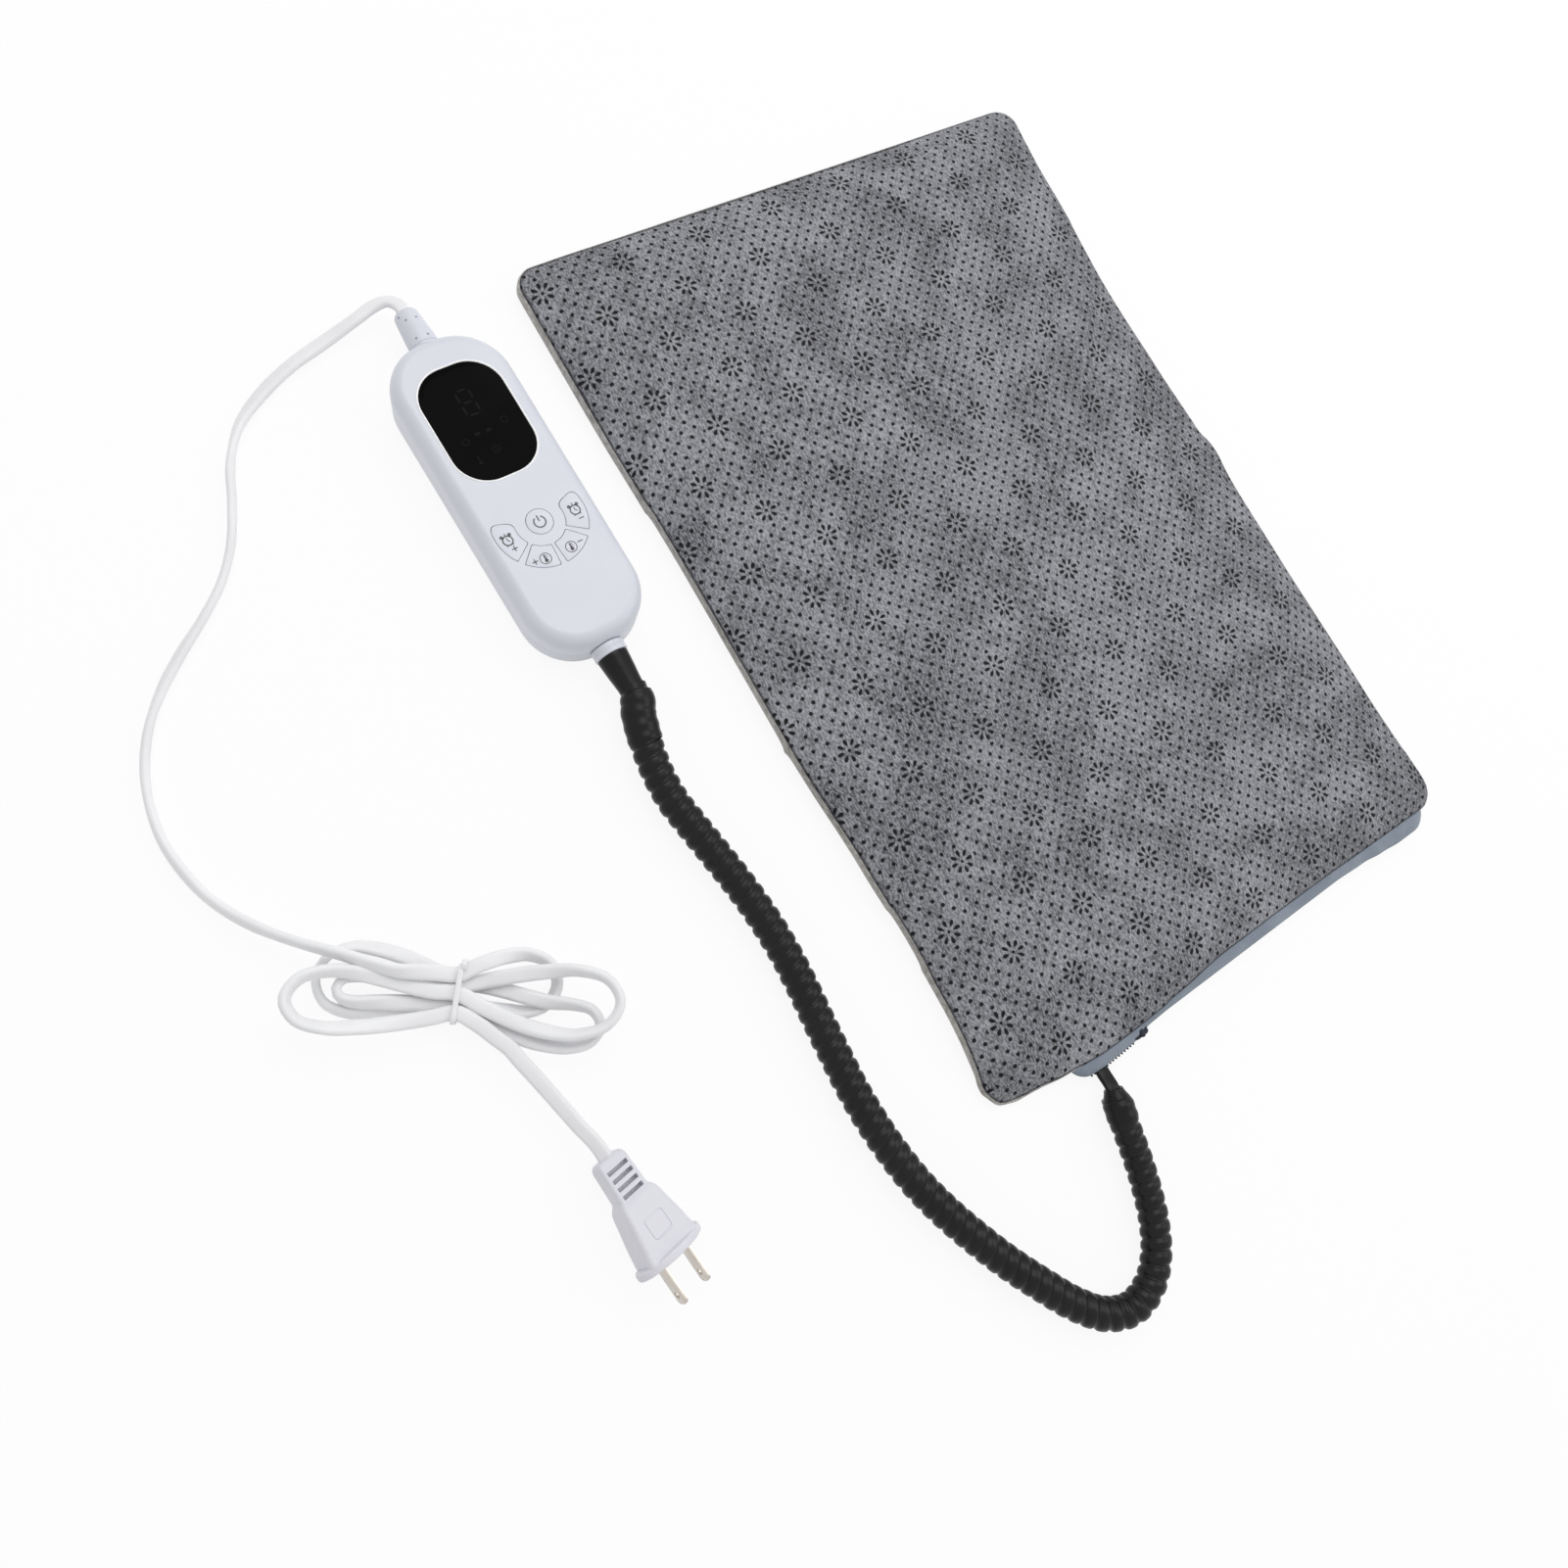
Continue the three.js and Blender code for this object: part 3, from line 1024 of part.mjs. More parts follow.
function plugBody() {
  const neck = PLUG_GRIP;
  const front = PLUG_GRIP + PLUG_BODY;
  const bodyWidth = FLANGE_WIDTH - 7;
  const bodyHeight = FLANGE_HEIGHT - 5;
  const body = loft([
    plugRing(0, GRIP_WIDTH - 3, GRIP_HEIGHT - 3, 2.5), plugRing(1, GRIP_WIDTH - 1, GRIP_HEIGHT - 1, 3),
    plugRing(2.5, GRIP_WIDTH, GRIP_HEIGHT, 3), plugRing(neck, GRIP_WIDTH + 1, GRIP_HEIGHT + 0.6, 3),
    plugRing(neck + 3, bodyWidth - 8, bodyHeight - 3, 4), plugRing(neck + 7, bodyWidth - 6, bodyHeight - 1, 4),
    plugRing(front - 2, bodyWidth - 0.4, bodyHeight, 4.5), plugRing(front + 0.5, bodyWidth, bodyHeight, 4.5),
  ]);
  const flange = loft([flangeRing(front, 0.5), flangeRing(front + 0.6, 0),
    flangeRing(front + PLUG_FLANGE - 0.8, 0), flangeRing(front + PLUG_FLANGE, 0.8)]);
  const slots = [];
  for (let i = 0; i < GRIP_SLOTS; i++) {
    const y = neck - 1.5 - i * GRIP_SLOT_PITCH;
    for (const side of [1, -1]) {
      const z = side * (GRIP_HEIGHT / 2 + OVERCUT - GRIP_SLOT_DEPTH);
      slots.push(box(0, y, z, GRIP_WIDTH - 3.4, GRIP_SLOT, 2 * OVERCUT));
    }
  }
  return cut(join(body, flange), ...slots);
}
part('plug_body', plugBody(), WHITE_SHELL, plug);

function plugBlade() {
  const half = BLADE_WIDTH / 2;
  const shape = new THREE.Shape();
  shape.moveTo(0, -half);
  shape.lineTo(BLADE_LENGTH - 2, -half);
  shape.lineTo(BLADE_LENGTH, -half + 1.8);
  shape.lineTo(BLADE_LENGTH, half - 1.8);
  shape.lineTo(BLADE_LENGTH - 2, half);
  shape.lineTo(0, half);
  shape.holes.push(new THREE.Path().absarc(BLADE_LENGTH - BLADE_HOLE_BACK, 0, BLADE_HOLE, 0, 2 * Math.PI));
  const turned = new THREE.Matrix4().makeBasis(
    new THREE.Vector3(0, 1, 0), new THREE.Vector3(0, 0, 1), new THREE.Vector3(1, 0, 0));
  return prism(shape, -BLADE_THICK / 2, BLADE_THICK / 2, 6).applyMatrix4(turned);
}
const plugFace = PLUG_GRIP + PLUG_BODY + PLUG_FLANGE + GAP;
for (const [name, side] of [['left', -1], ['right', 1]]) {
  part(`plug_blade_${name}`, plugBlade(), NICKEL, plug).position.set(side * BLADE_SPACING / 2, plugFace, 0);
}

const [outA, outB] = [hankEnds[1][1], hankEnds[1][2]].map((p) => hankSpot(...p));
const outWay = outB.clone().sub(outA).normalize();
const fromPlug = (y) => new THREE.Vector3(0, y, 0).applyMatrix4(plug.matrix);
part('mains_cord_lower', cordStretch([
  outB.clone().addScaledVector(outWay, GAP), outB.clone().addScaledVector(outWay, CORD_WIDTH),
  ...LOWER_ROUTE.map(cordPoint),
  fromPlug(-CORD_WIDTH), fromPlug(-GAP),
], [0, 0, ...LOWER_ROUTE.map((row) => row[3]), 20, 20]), WHITE_CORD);

export default heatingPad;
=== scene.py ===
# Heating pad with controller: its looks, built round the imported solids
import math
from functools import partial

import bmesh
import bpy
from mathutils import Matrix, Vector, noise


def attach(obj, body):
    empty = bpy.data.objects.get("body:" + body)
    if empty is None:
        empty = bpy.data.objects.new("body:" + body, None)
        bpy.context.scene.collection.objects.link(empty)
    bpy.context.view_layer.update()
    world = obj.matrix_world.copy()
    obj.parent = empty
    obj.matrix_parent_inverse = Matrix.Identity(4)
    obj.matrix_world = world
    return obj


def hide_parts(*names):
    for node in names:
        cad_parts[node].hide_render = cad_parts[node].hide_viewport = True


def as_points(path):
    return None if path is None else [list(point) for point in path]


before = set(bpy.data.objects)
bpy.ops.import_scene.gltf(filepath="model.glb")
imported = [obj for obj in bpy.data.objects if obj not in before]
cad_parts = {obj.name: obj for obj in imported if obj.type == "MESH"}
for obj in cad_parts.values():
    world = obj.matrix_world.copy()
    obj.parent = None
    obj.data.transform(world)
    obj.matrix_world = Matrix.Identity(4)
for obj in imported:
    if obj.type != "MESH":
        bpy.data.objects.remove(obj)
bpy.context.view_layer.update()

# All sizes are given in millimetres and go into the meshes in metres
MM = 0.001
PAD_BODY = "pad_and_controller"


# Small sums: placing, turning and easing
def moved(x, y, z):
    return Matrix.Translation(Vector((x, y, z)) * MM)


def spun(degrees, axis="Z"):
    return Matrix.Rotation(math.radians(degrees), 4, axis)


def point_on(place, x, y, z, roll=0.0):
    return Vector((*(place @ (Vector((x, y, z)) * MM) / MM), roll))


def clamp(share):
    return min(max(share, 0), 1)


def ease(share):
    share = clamp(share)
    return share * share * (3 - 2 * share)


def eased(table, at):
    for (x0, y0), (x1, y1) in zip(table, table[1:]):
        if at <= x1:
            return y0 + (y1 - y0) * ease((at - x0) / (x1 - x0))
    return table[-1][1]


def circle(x, y, radius, count):
    turns = [2 * math.pi * k / count for k in range(count)]
    return [(x + radius * math.cos(t), y + radius * math.sin(t)) for t in turns]


# Places of the pad, controller, hank and plug
PAD_TURN = spun(1.35)
CONTROLLER = moved(-205.7, 113.7, 0) @ spun(2.7)
HANK = moved(-322.5, -66, 0) @ spun(-30)
PLUG = moved(-302, -151, 11.38) @ spun(186.1) @ spun(-20, "Y")
EXIT_HEIGHT = 11.15
SHELL_END = 77
SLEEVE_Y = -82.3
on_pad = partial(point_on, PAD_TURN)
on_controller = partial(point_on, CONTROLLER)
on_hank = partial(point_on, HANK)
on_plug = partial(point_on, PLUG)


def new_object(name, data):
    piece = bpy.data.objects.new(name, data)
    bpy.context.scene.collection.objects.link(piece)
    return piece


# Camera at the photograph's viewing angle
CAMERA_PLACE = (-317.13, -83.14, 462.05)
CAMERA_RIGHT = Vector((0.8371, -0.4827, 0.2573))
CAMERA_BACK = Vector((-0.3265, -0.0637, 0.943))


def photo_camera():
    lens = bpy.data.cameras.new("photo_camera")
    lens.sensor_width = 36
    lens.lens = 24.73
    lens.clip_start = 0.01
    camera = new_object("photo_camera", lens)
    right = CAMERA_RIGHT.normalized()
    back = (CAMERA_BACK - right * CAMERA_BACK.dot(right)).normalized()
    turn = Matrix((right, back.cross(right), back)).transposed().to_4x4()
    camera.matrix_world = moved(*CAMERA_PLACE) @ turn
    bpy.context.scene.camera = camera


photo_camera()


# Bench helpers: selecting, editing, applying
def leave_edit():
    if bpy.context.mode != "OBJECT":
        bpy.ops.object.mode_set(mode="OBJECT")


def clear_bench():
    leave_edit()
    bpy.ops.object.select_all(action="DESELECT")


def only(piece):
    clear_bench()
    piece.select_set(True)
    bpy.context.view_layer.objects.active = piece
    return piece


def named(name):
    piece = only(bpy.context.active_object)
    piece.name = name
    piece.data.name = name
    bpy.ops.object.transform_apply(location=True, rotation=True, scale=True)
    return piece


def copied(piece, name):
    only(piece)
    bpy.ops.object.duplicate()
    return named(name)


def box(name, low, high):
    clear_bench()
    size = [(b - a) * MM for a, b in zip(low, high)]
    centre = [(a + b) / 2 * MM for a, b in zip(low, high)]
    bpy.ops.mesh.primitive_cube_add(size=1, location=centre, scale=size)
    return named(name)


def rod(name, place, radius, depth, sides=24, lying=False):
    clear_bench()
    bpy.ops.mesh.primitive_cylinder_add(
        vertices=sides, radius=radius * MM, depth=depth * MM, location=Vector(place) * MM,
        rotation=(-math.pi / 2 if lying else 0, 0, 0))
    return named(name)


def edit(piece, kind="FACE", chosen="SELECT"):
    only(piece)
    bpy.ops.object.mode_set(mode="EDIT")
    bpy.ops.mesh.select_mode(type=kind)
    bpy.ops.mesh.select_all(action=chosen)


def pick(piece, test, kind="FACE"):
    edit(piece, kind, "DESELECT")
    mesh = bmesh.from_edit_mesh(piece.data)
    mesh.normal_update()
    for part in {"FACE": mesh.faces, "EDGE": mesh.edges}[kind]:
        if test(part):
            part.select_set(True)
    mesh.select_flush_mode()
    bmesh.update_edit_mesh(piece.data)


def upright(edge):
    return abs(edge.verts[0].co.z - edge.verts[1].co.z) > MM


def lies_at(height):
    return lambda part: all(abs(v.co.z - height * MM) < 1e-6 for v in part.verts)


def round_edges(piece, test, radius, segments=4):
    pick(piece, test, "EDGE")
    bpy.ops.mesh.bevel(offset=radius * MM, segments=segments, affect="EDGES", clamp_overlap=True)
    leave_edit()


def extrude(x, y, z):
    bpy.ops.mesh.extrude_region_move(TRANSFORM_OT_translate={"value": (x * MM, y * MM, z * MM)})


def outward(piece):
    edit(piece)
    bpy.ops.mesh.remove_doubles(threshold=0.000002)
    bpy.ops.mesh.normals_make_consistent(inside=False)
    leave_edit()
    return piece


def apply(piece, kind, **values):
    only(piece)
    modifier = piece.modifiers.new(kind.lower(), kind)
    for name, value in values.items():
        setattr(modifier, name, value)
    bpy.ops.object.modifier_apply(modifier=modifier.name)
    return piece


def carve(piece, *tools, how="DIFFERENCE"):
    for tool in tools:
        apply(piece, "BOOLEAN", object=tool, operation=how, solver="EXACT")
        bpy.data.objects.remove(tool)
    return piece


def merge(name, pieces):
    first = only(pieces[0])
    for piece in pieces:
        piece.select_set(True)
    bpy.ops.object.join()
    first.name = name
    first.data.name = name
    return first


def soften(piece, degrees, weighted=False):
    only(piece)
    bpy.ops.object.shade_smooth_by_angle(angle=math.radians(degrees))
    if weighted:
        apply(piece, "WEIGHTED_NORMAL", keep_sharp=True, weight=60)
    return piece


def put(piece, *places):
    for place in places:
        piece.data.transform(place)
    piece.data.update()
    return piece


# A flat piece cut to an outline: a filled ring whose corners are moved to the outline and drawn up
def cut_flat(name, outline, low, high, rim=0.0, rim_segments=3):
    clear_bench()
    bpy.ops.mesh.primitive_circle_add(vertices=len(outline), radius=0.01, fill_type="NGON")
    piece = named(name)
    for corner, (x, y) in zip(piece.data.vertices, outline):
        corner.co = Vector((x, y, low)) * MM
    edit(piece)
    extrude(0, 0, high - low)
    outward(piece)
    if rim:
        round_edges(piece, lies_at(high), rim, rim_segments)
    return piece


def rounded_outline(width, length, corner, x=0.0, y=0.0, steps=8):
    points = []
    for right, up, start in ((1, 1, 0), (-1, 1, 90), (-1, -1, 180), (1, -1, 270)):
        for i in range(steps + 1):
            turn = math.radians(start + 90 * i / steps)
            points.append((x + right * (width / 2 - corner) + corner * math.cos(turn),
                           y + up * (length / 2 - corner) + corner * math.sin(turn)))
    return points


# A turned piece: one point drawn out into a profile of radii and places along Y, then spun
def turned(name, profile, steps):
    clear_bench()
    bpy.ops.mesh.primitive_plane_add(size=0.001)
    piece = named(name)
    edit(piece, "VERT")
    bpy.ops.mesh.merge(type="CENTER")
    radius, along = profile[0]
    bpy.ops.transform.translate(value=(radius * MM, along * MM, 0))
    for (r0, a0), (r1, a1) in zip(profile, profile[1:]):
        bpy.ops.mesh.extrude_vertices_move(
            TRANSFORM_OT_translate={"value": ((r1 - r0) * MM, (a1 - a0) * MM, 0)})
    bpy.ops.mesh.select_all(action="SELECT")
    bpy.ops.mesh.spin(steps=steps, angle=2 * math.pi, center=(0, 0, 0), axis=(0, 1, 0))
    return outward(piece)


# Routes: one smooth curve through points of X, Y, Z and roll, spaced evenly
ROUTE_SPLITS = 16


def smooth_route(points, step):
    rows = [Vector(p) for p in points]
    rows = [rows[0] * 2 - rows[1]] + rows + [rows[-1] * 2 - rows[-2]]
    fine = [rows[1].copy()]
    for a, b, c, d in zip(rows, rows[1:], rows[2:], rows[3:]):
        tb = math.sqrt((b - a).xyz.length)
        tc = tb + math.sqrt((c - b).xyz.length)
        td = tc + math.sqrt((d - c).xyz.length)
        for k in range(1, ROUTE_SPLITS + 1):
            t = tb + (tc - tb) * k / ROUTE_SPLITS
            p = a.lerp(b, t / tb)
            q = b.lerp(c, (t - tb) / (tc - tb))
            r = c.lerp(d, (t - tc) / (td - tc))
            near, far = p.lerp(q, t / tc), q.lerp(r, (t - tb) / (td - tb))
            fine.append(near.lerp(far, (t - tb) / (tc - tb)))
    return spaced(fine, step)


def route_length(route):
    return sum((b - a).xyz.length for a, b in zip(route, route[1:]))


def spaced(fine, step):
    total = route_length(fine)
    count = max(2, round(total / step))
    route, gone, i = [fine[0].copy()], 0.0, 0
    for k in range(1, count):
        want = total * k / count
        while gone + (fine[i + 1] - fine[i]).xyz.length < want:
            gone += (fine[i + 1] - fine[i]).xyz.length
            i += 1
        share = (want - gone) / (fine[i + 1] - fine[i]).xyz.length
        route.append(fine[i].lerp(fine[i + 1], share))
    return route + [fine[-1].copy()]


def in_metres(route):
    return [tuple(p.xyz * MM) for p in route]


# Frames along a route: the point, the way across and the way up, turned by the roll
def stations(route):
    for i, point in enumerate(route):
        way = (route[min(i + 1, len(route) - 1)].xyz - route[max(i - 1, 0)].xyz).normalized()
        up = Vector((0, 0, 1))
        up = (up - way * up.dot(way)).normalized()
        up = Matrix.Rotation(math.radians(point.w), 3, way) @ up
        yield point.xyz, way.cross(up), up


# A skin over rings of equal count, closed at both ends or run round to its start
def skin(name, rings, looped=False):
    mesh = bmesh.new()
    loops = [[mesh.verts.new(p * MM) for p in ring] for ring in rings]
    for here, there in zip(loops, loops[1:] + loops[:1] if looped else loops[1:]):
        for k in range(len(here)):
            n = (k + 1) % len(here)
            mesh.faces.new((here[k], here[n], there[n], there[k]))
    if not looped:
        mesh.faces.new(loops[0])
        mesh.faces.new(loops[-1])
    return meshed(name, mesh)


def meshed(name, mesh):
    bmesh.ops.recalc_face_normals(mesh, faces=mesh.faces)
    data = bpy.data.meshes.new(name)
    mesh.to_mesh(data)
    mesh.free()
    return new_object(name, data)


def flat_oval(width, thick, steps=8):
    ring = []
    for side in (1, -1):
        for i in range(steps):
            turn = math.radians(-90 + 180 * i / (steps - 1))
            ring.append((side * ((width - thick) / 2 + thick / 2 * math.cos(turn)),
                         side * thick / 2 * math.sin(turn)))
    return ring


def flat_lead(name, route, width, thick):
    outline = flat_oval(width, thick)
    rings = [[p + side * a + up * b for a, b in outline] for p, side, up in stations(route)]
    return soften(skin(name, rings), 60)


# A ring round a point: its radius is one number or a function of the corner's count
def round_ring(point, side, up, radius, count):
    radii = [radius(k) if callable(radius) else radius for k in range(count)]
    turns = [2 * math.pi * k / count for k in range(count)]
    return [point + side * (r * math.cos(t)) + up * (r * math.sin(t)) for r, t in zip(radii, turns)]


# Mains cord: from the boot in loose curves, folded six times into the tied hank, and on to the plug
UPPER_ROUTE = [
    (-214.4, 220.4, 7.2, 22), (-221.3, 220.8, 5.8, 16), (-229.4, 218.6, 4.4, 22), (-247, 214.3, 2, 8),
    (-264.1, 209.3, 0.5, 18), (-280.3, 201.5, 0, 22), (-294.8, 190.5, 0, 52), (-305.1, 175.4, 0, 85),
    (-311.9, 158.7, 0, 86), (-319.6, 142.6, 0, 80), (-329.9, 128.6, 0, 68), (-342.2, 117.3, 0, 63),
    (-355, 107.4, 0, 51), (-367, 96.8, 0, 55), (-377.3, 84.7, 0, 76), (-385.2, 70.8, 0, 80),
    (-390.1, 55.7, 0, 77), (-391.9, 40.1, 0, 70), (-390.1, 24.7, 0.4, 66), (-385.7, 10.1, 2, 69),
    (-377.5, -4.5, 5.2, 66), (-365.6, -19.2, 9.4, 74), (-353.3, -31.6, 12.2, 60),
]
LOWER_ROUTE = [(-313.6, -100, 8.3, 0), (-310.7, -111.6, 7.4, 6), (-308, -123.2, 7.3, 12),
               (-305.3, -135, 8.1, 18)]
CORD_STEP = 2.5
CORD_WIDTH = 6.4
CORD_THICK = 3.4
CORD_LIE = 1.94
STRAND_COLUMN = 6.9
STRAND_LAYER = 3.9
STRAND_LOW = 3.34
LOBE_POINTS = 14
LOBE_RUN = 0.36
LOBE_EASE = 0.12
# Each lobe: side, reach, nose, the two strands' offsets, slot it leaves and enters, climb, lag, nose roll, lift
LOBES = [
    (1, 39, 12, 16, -7, (1.06, 2), (-0.6, 0), (0.1, 0.5), 1, 62, 0),
    (-1, 53.5, 13, -7.5, 18, (-0.6, 0), (0.6, 0), (0.4, 0.6), 1, 82, 0),
    (1, 56.5, 11, -4, -21, (0.6, 0), (-0.6, 1), (0.06, 0.2), 2, 78, 3.4),
    (-1, 45, 7, -3.5, 6.5, (-0.6, 1), (0.4, 1), (0.4, 0.6), 1, 76, 2.3),
    (1, 63.5, 17, 9.3, -16, (0.4, 1), (0, 2), (0.05, 0.2), 1, 80, 6.8),
    (-1, 61.5, 15, 8, -13.4, (0, 2), (-1.1, 2), (0.4, 0.6), 2, 74, 7.6),
]


def cord_point(x, y, lift, roll):
    edge = (CORD_WIDTH - CORD_THICK) / 2 * abs(math.sin(math.radians(roll)))
    return Vector((x, y, CORD_LIE + edge + lift, roll))


def strand_slot(place):
    return place[0] * STRAND_COLUMN, STRAND_LOW + place[1] * STRAND_LAYER


def lobe_points(side, reach, nose, out, back, leaves, enters, climb, lag, nose_roll, lift):
    (v0, z0), (v1, z1) = strand_slot(leaves), strand_slot(enters)
    run = reach - nose
    points = []
    for k in range(LOBE_POINTS):
        s = k / LOBE_POINTS
        z = z0 + (z1 - z0) * ease((s - climb[0]) / (climb[1] - climb[0]))
        if s < LOBE_RUN:
            u = run * s / LOBE_RUN
            v = v0 + (out - v0) * math.sin(math.pi / 2 * u / run) ** lag
        elif s > 1 - LOBE_RUN:
            u = run * (1 - s) / LOBE_RUN
            v = v1 + (back - v1) * math.sin(math.pi / 2 * u / run)
        else:
            turn = math.pi * (s - LOBE_RUN) / (1 - 2 * LOBE_RUN)
            u = run + nose * math.sin(turn)
            v = (out + back) / 2 + (out - back) / 2 * math.cos(turn)
        at_nose = math.sin(math.pi * clamp((s - LOBE_EASE) / (1 - 2 * LOBE_EASE))) ** 2
        points.append(on_hank(side * u, v, z + lift * at_nose, side * nose_roll * at_nose))
    return points


def mains_cord_route():
    (v_in, z_in), (v_out, z_out) = strand_slot(LOBES[0][5]), strand_slot(LOBES[-1][6])
    hank_in = [on_hank(-16, v_in + 0.7, z_in + 3.5, 15), on_hank(-8, v_in + 0.4, z_in + 1.75)]
    hank_out = [on_hank(0, v_out, z_out), on_hank(8, v_out - 4, z_out), on_hank(16, v_out - 9.76, z_out)]
    rising = (hank_in[0].xyz - hank_in[1].xyz).normalized() * CORD_WIDTH
    lead_in = Vector((*(hank_in[0].xyz + rising), 40))
    lead_out = hank_out[2] + (hank_out[2] - hank_out[1]).normalized() * CORD_WIDTH
    points = [on_controller(0, 96.4, EXIT_HEIGHT), on_controller(0, 102.4, EXIT_HEIGHT - 0.2)]
    points += [cord_point(*row) for row in UPPER_ROUTE] + [lead_in] + hank_in
    for lobe in LOBES:
        points += lobe_points(*lobe)
    points += hank_out + [lead_out] + [cord_point(*row) for row in LOWER_ROUTE]
    points += [on_plug(0, y, 0, 20) for y in (-CORD_WIDTH, 0.6)]
    return smooth_route(points, CORD_STEP)


mains_route = mains_cord_route()
mains_cord = flat_lead("mains_cord", mains_route, CORD_WIDTH, CORD_THICK)

# Ribbed hose: on its route from the tapered sleeve to the pad's zip
HOSE_ROUTE = [
    (-203.5, 4.4, 3.0), (-205.7, -4.4, 2.1), (-207.4, -13.8, 1.2), (-208.3, -25, 0.4), (-207.9, -37, 0),
    (-205.9, -48.8, 0), (-202.8, -65.4, 0), (-199.8, -82.2, 0), (-197.7, -99, 0), (-196.7, -116, 0),
    (-197, -132.6, 0), (-198, -149.3, 0), (-198.8, -165.8, 0), (-199.3, -182.3, 0), (-198.7, -198.8, 0),
    (-196.9, -215.3, 0), (-193.8, -231.7, 0), (-188.9, -247.9, 0), (-182.7, -263.9, 0), (-175.6, -279.8, 0),
    (-167.3, -295.4, 0), (-157.9, -311.2, 0), (-147.8, -322.4, 0), (-135.5, -327.4, 0), (-122.7, -324.1, 0),
    (-113.3, -315.8, 0), (-106.4, -303.9, 0), (-101.7, -290.8, 0), (-98.4, -276.6, 0.57),
    (-96.1, -262.8, 1.15), (-93.2, -249.4, 1.15),
]
HOSE_CREST = 7.4
HOSE_ROOT = 6.35
HOSE_LIE = 7.5
HOSE_BORE = 4.4
HOSE_STEP = 0.5
HOSE_RUN_ON = 12
HOSE_SIDES = 32
RIBS = 76
RIB_FLATNESS = 6
RINGS_PER_RIB = 10
SLIM_SHARE = 0.075
SLIM_FROM = 125
SLIM_RUN = 60
hose_points = [on_controller(0, -101.5, EXIT_HEIGHT), on_controller(-0.9, -105.6, EXIT_HEIGHT - 0.2)]
hose_points += [Vector((x, y, HOSE_LIE + lift, 0)) for x, y, lift in HOSE_ROUTE]
hose_fine = smooth_route(hose_points, HOSE_STEP)
hose_length = route_length(hose_fine)
rib_pitch = hose_length / RIBS


# The hose's route from one distance to another, run on straight past its ends
def hose_stretch(start, stop, step):
    first, second, third, last = hose_fine[0], hose_fine[1], hose_fine[-2], hose_fine[-1]
    before = [first.lerp(second, d / HOSE_STEP) for d in range(-HOSE_RUN_ON, 0)]
    after = [third.lerp(last, 1 + d / HOSE_STEP) for d in range(1, HOSE_RUN_ON + 1)]
    line, gone, kept = before + hose_fine + after, -HOSE_RUN_ON, []
    for a, b in zip(line, line[1:]):
        if start - 0.01 <= gone <= stop + 0.01:
            kept.append(a)
        gone += (b - a).xyz.length
    return spaced(kept, step)


# The hose is a little slimmer where it is drawn out towards the pad
def hose_girth(distance):
    return 1 - SLIM_SHARE * ease((distance - hose_length + SLIM_FROM) / SLIM_RUN)


# The rib winds round the hose in one spiral
def rib_radius(i, k):
    crest = 1 - math.cos(math.pi * (i / RINGS_PER_RIB + k / HOSE_SIDES)) ** RIB_FLATNESS
    return (HOSE_ROOT + (HOSE_CREST - HOSE_ROOT) * crest) * hose_girth(i * rib_pitch / RINGS_PER_RIB)


def lead_hose_rings():
    outside = stations(spaced(hose_fine, rib_pitch / RINGS_PER_RIB))
    rings = [round_ring(*at, partial(rib_radius, i), HOSE_SIDES) for i, at in enumerate(outside)]
    bore = list(stations(spaced(hose_fine, rib_pitch)))
    return rings + [round_ring(*at, HOSE_BORE, HOSE_SIDES) for at in reversed(bore)]


lead_hose = soften(skin("ribbed_hose", lead_hose_rings(), looped=True), 60)


# Sleeves shrunk over the hose's ends: an outline of distances and radii along the hose
def shrunk_sleeve(name, outline):
    low, high = min(d for d, r in outline), max(d for d, r in outline)
    frames = list(stations(hose_stretch(low, high, 0.25)))
    rings = []
    for distance, radius in outline:
        at = frames[round((distance - low) / (high - low) * (len(frames) - 1))]
        rings.append(round_ring(*at, radius, HOSE_SIDES))
    return soften(skin(name, rings, looped=True), 50)


# Each sleeve: a tight neck past the hose's end, a cone, and a cover drawn in between the first ribs
SLEEVE_NECK = -4.0
SLEEVE_RADIUS = 7.5
SLEEVE_INSIDE = 7.42


def sleeve_outline(start, way, neck, neck_bore, cone, cover, girth):
    outline = [(SLEEVE_NECK, neck_bore), (SLEEVE_NECK, neck - 0.15), (SLEEVE_NECK + 0.2, neck)]
    for i in range(9):
        rise = i / 8
        swell = rise ** 1.3 * (1.6 - 0.6 * rise)
        outline.append((cone[0] + (cone[1] - cone[0]) * rise,
                        neck + 0.05 + (SLEEVE_RADIUS * girth - neck) * swell))
    d = cone[1] + 0.6
    while d < cover - 1.0:
        wave = 0.5 - 0.5 * math.cos(2 * math.pi * d / rib_pitch)
        outline.append((d, (SLEEVE_RADIUS + 0.05 + 0.3 * wave * min(1.0, d / 5)) * girth))
        d += rib_pitch / RINGS_PER_RIB
    edge = [(cover - 0.5, 7.65), (cover - 0.1, 7.6), (cover, 7.52), (cover, SLEEVE_INSIDE)]
    edge += [(d, SLEEVE_INSIDE) for d in range(int(cover) - 1, 2, -2)] + [(2.0, 7.0), (0.4, 6.2)]
    outline += [(d, r * girth) for d, r in edge] + [(-0.6, neck_bore)]
    return [(start + way * d, r) for d, r in outline]


sleeve_by_controller = shrunk_sleeve("sleeve_by_controller", sleeve_outline(
    start=0, way=1, neck=6.05, neck_bore=5.8, cone=(-1.2, 1.3), cover=22, girth=1.0))
sleeve_by_pad = shrunk_sleeve("sleeve_by_pad", sleeve_outline(
    start=hose_length, way=-1, neck=4.5, neck_bore=3.65, cone=(-3.2, 2.6), cover=10, girth=hose_girth(hose_length)))

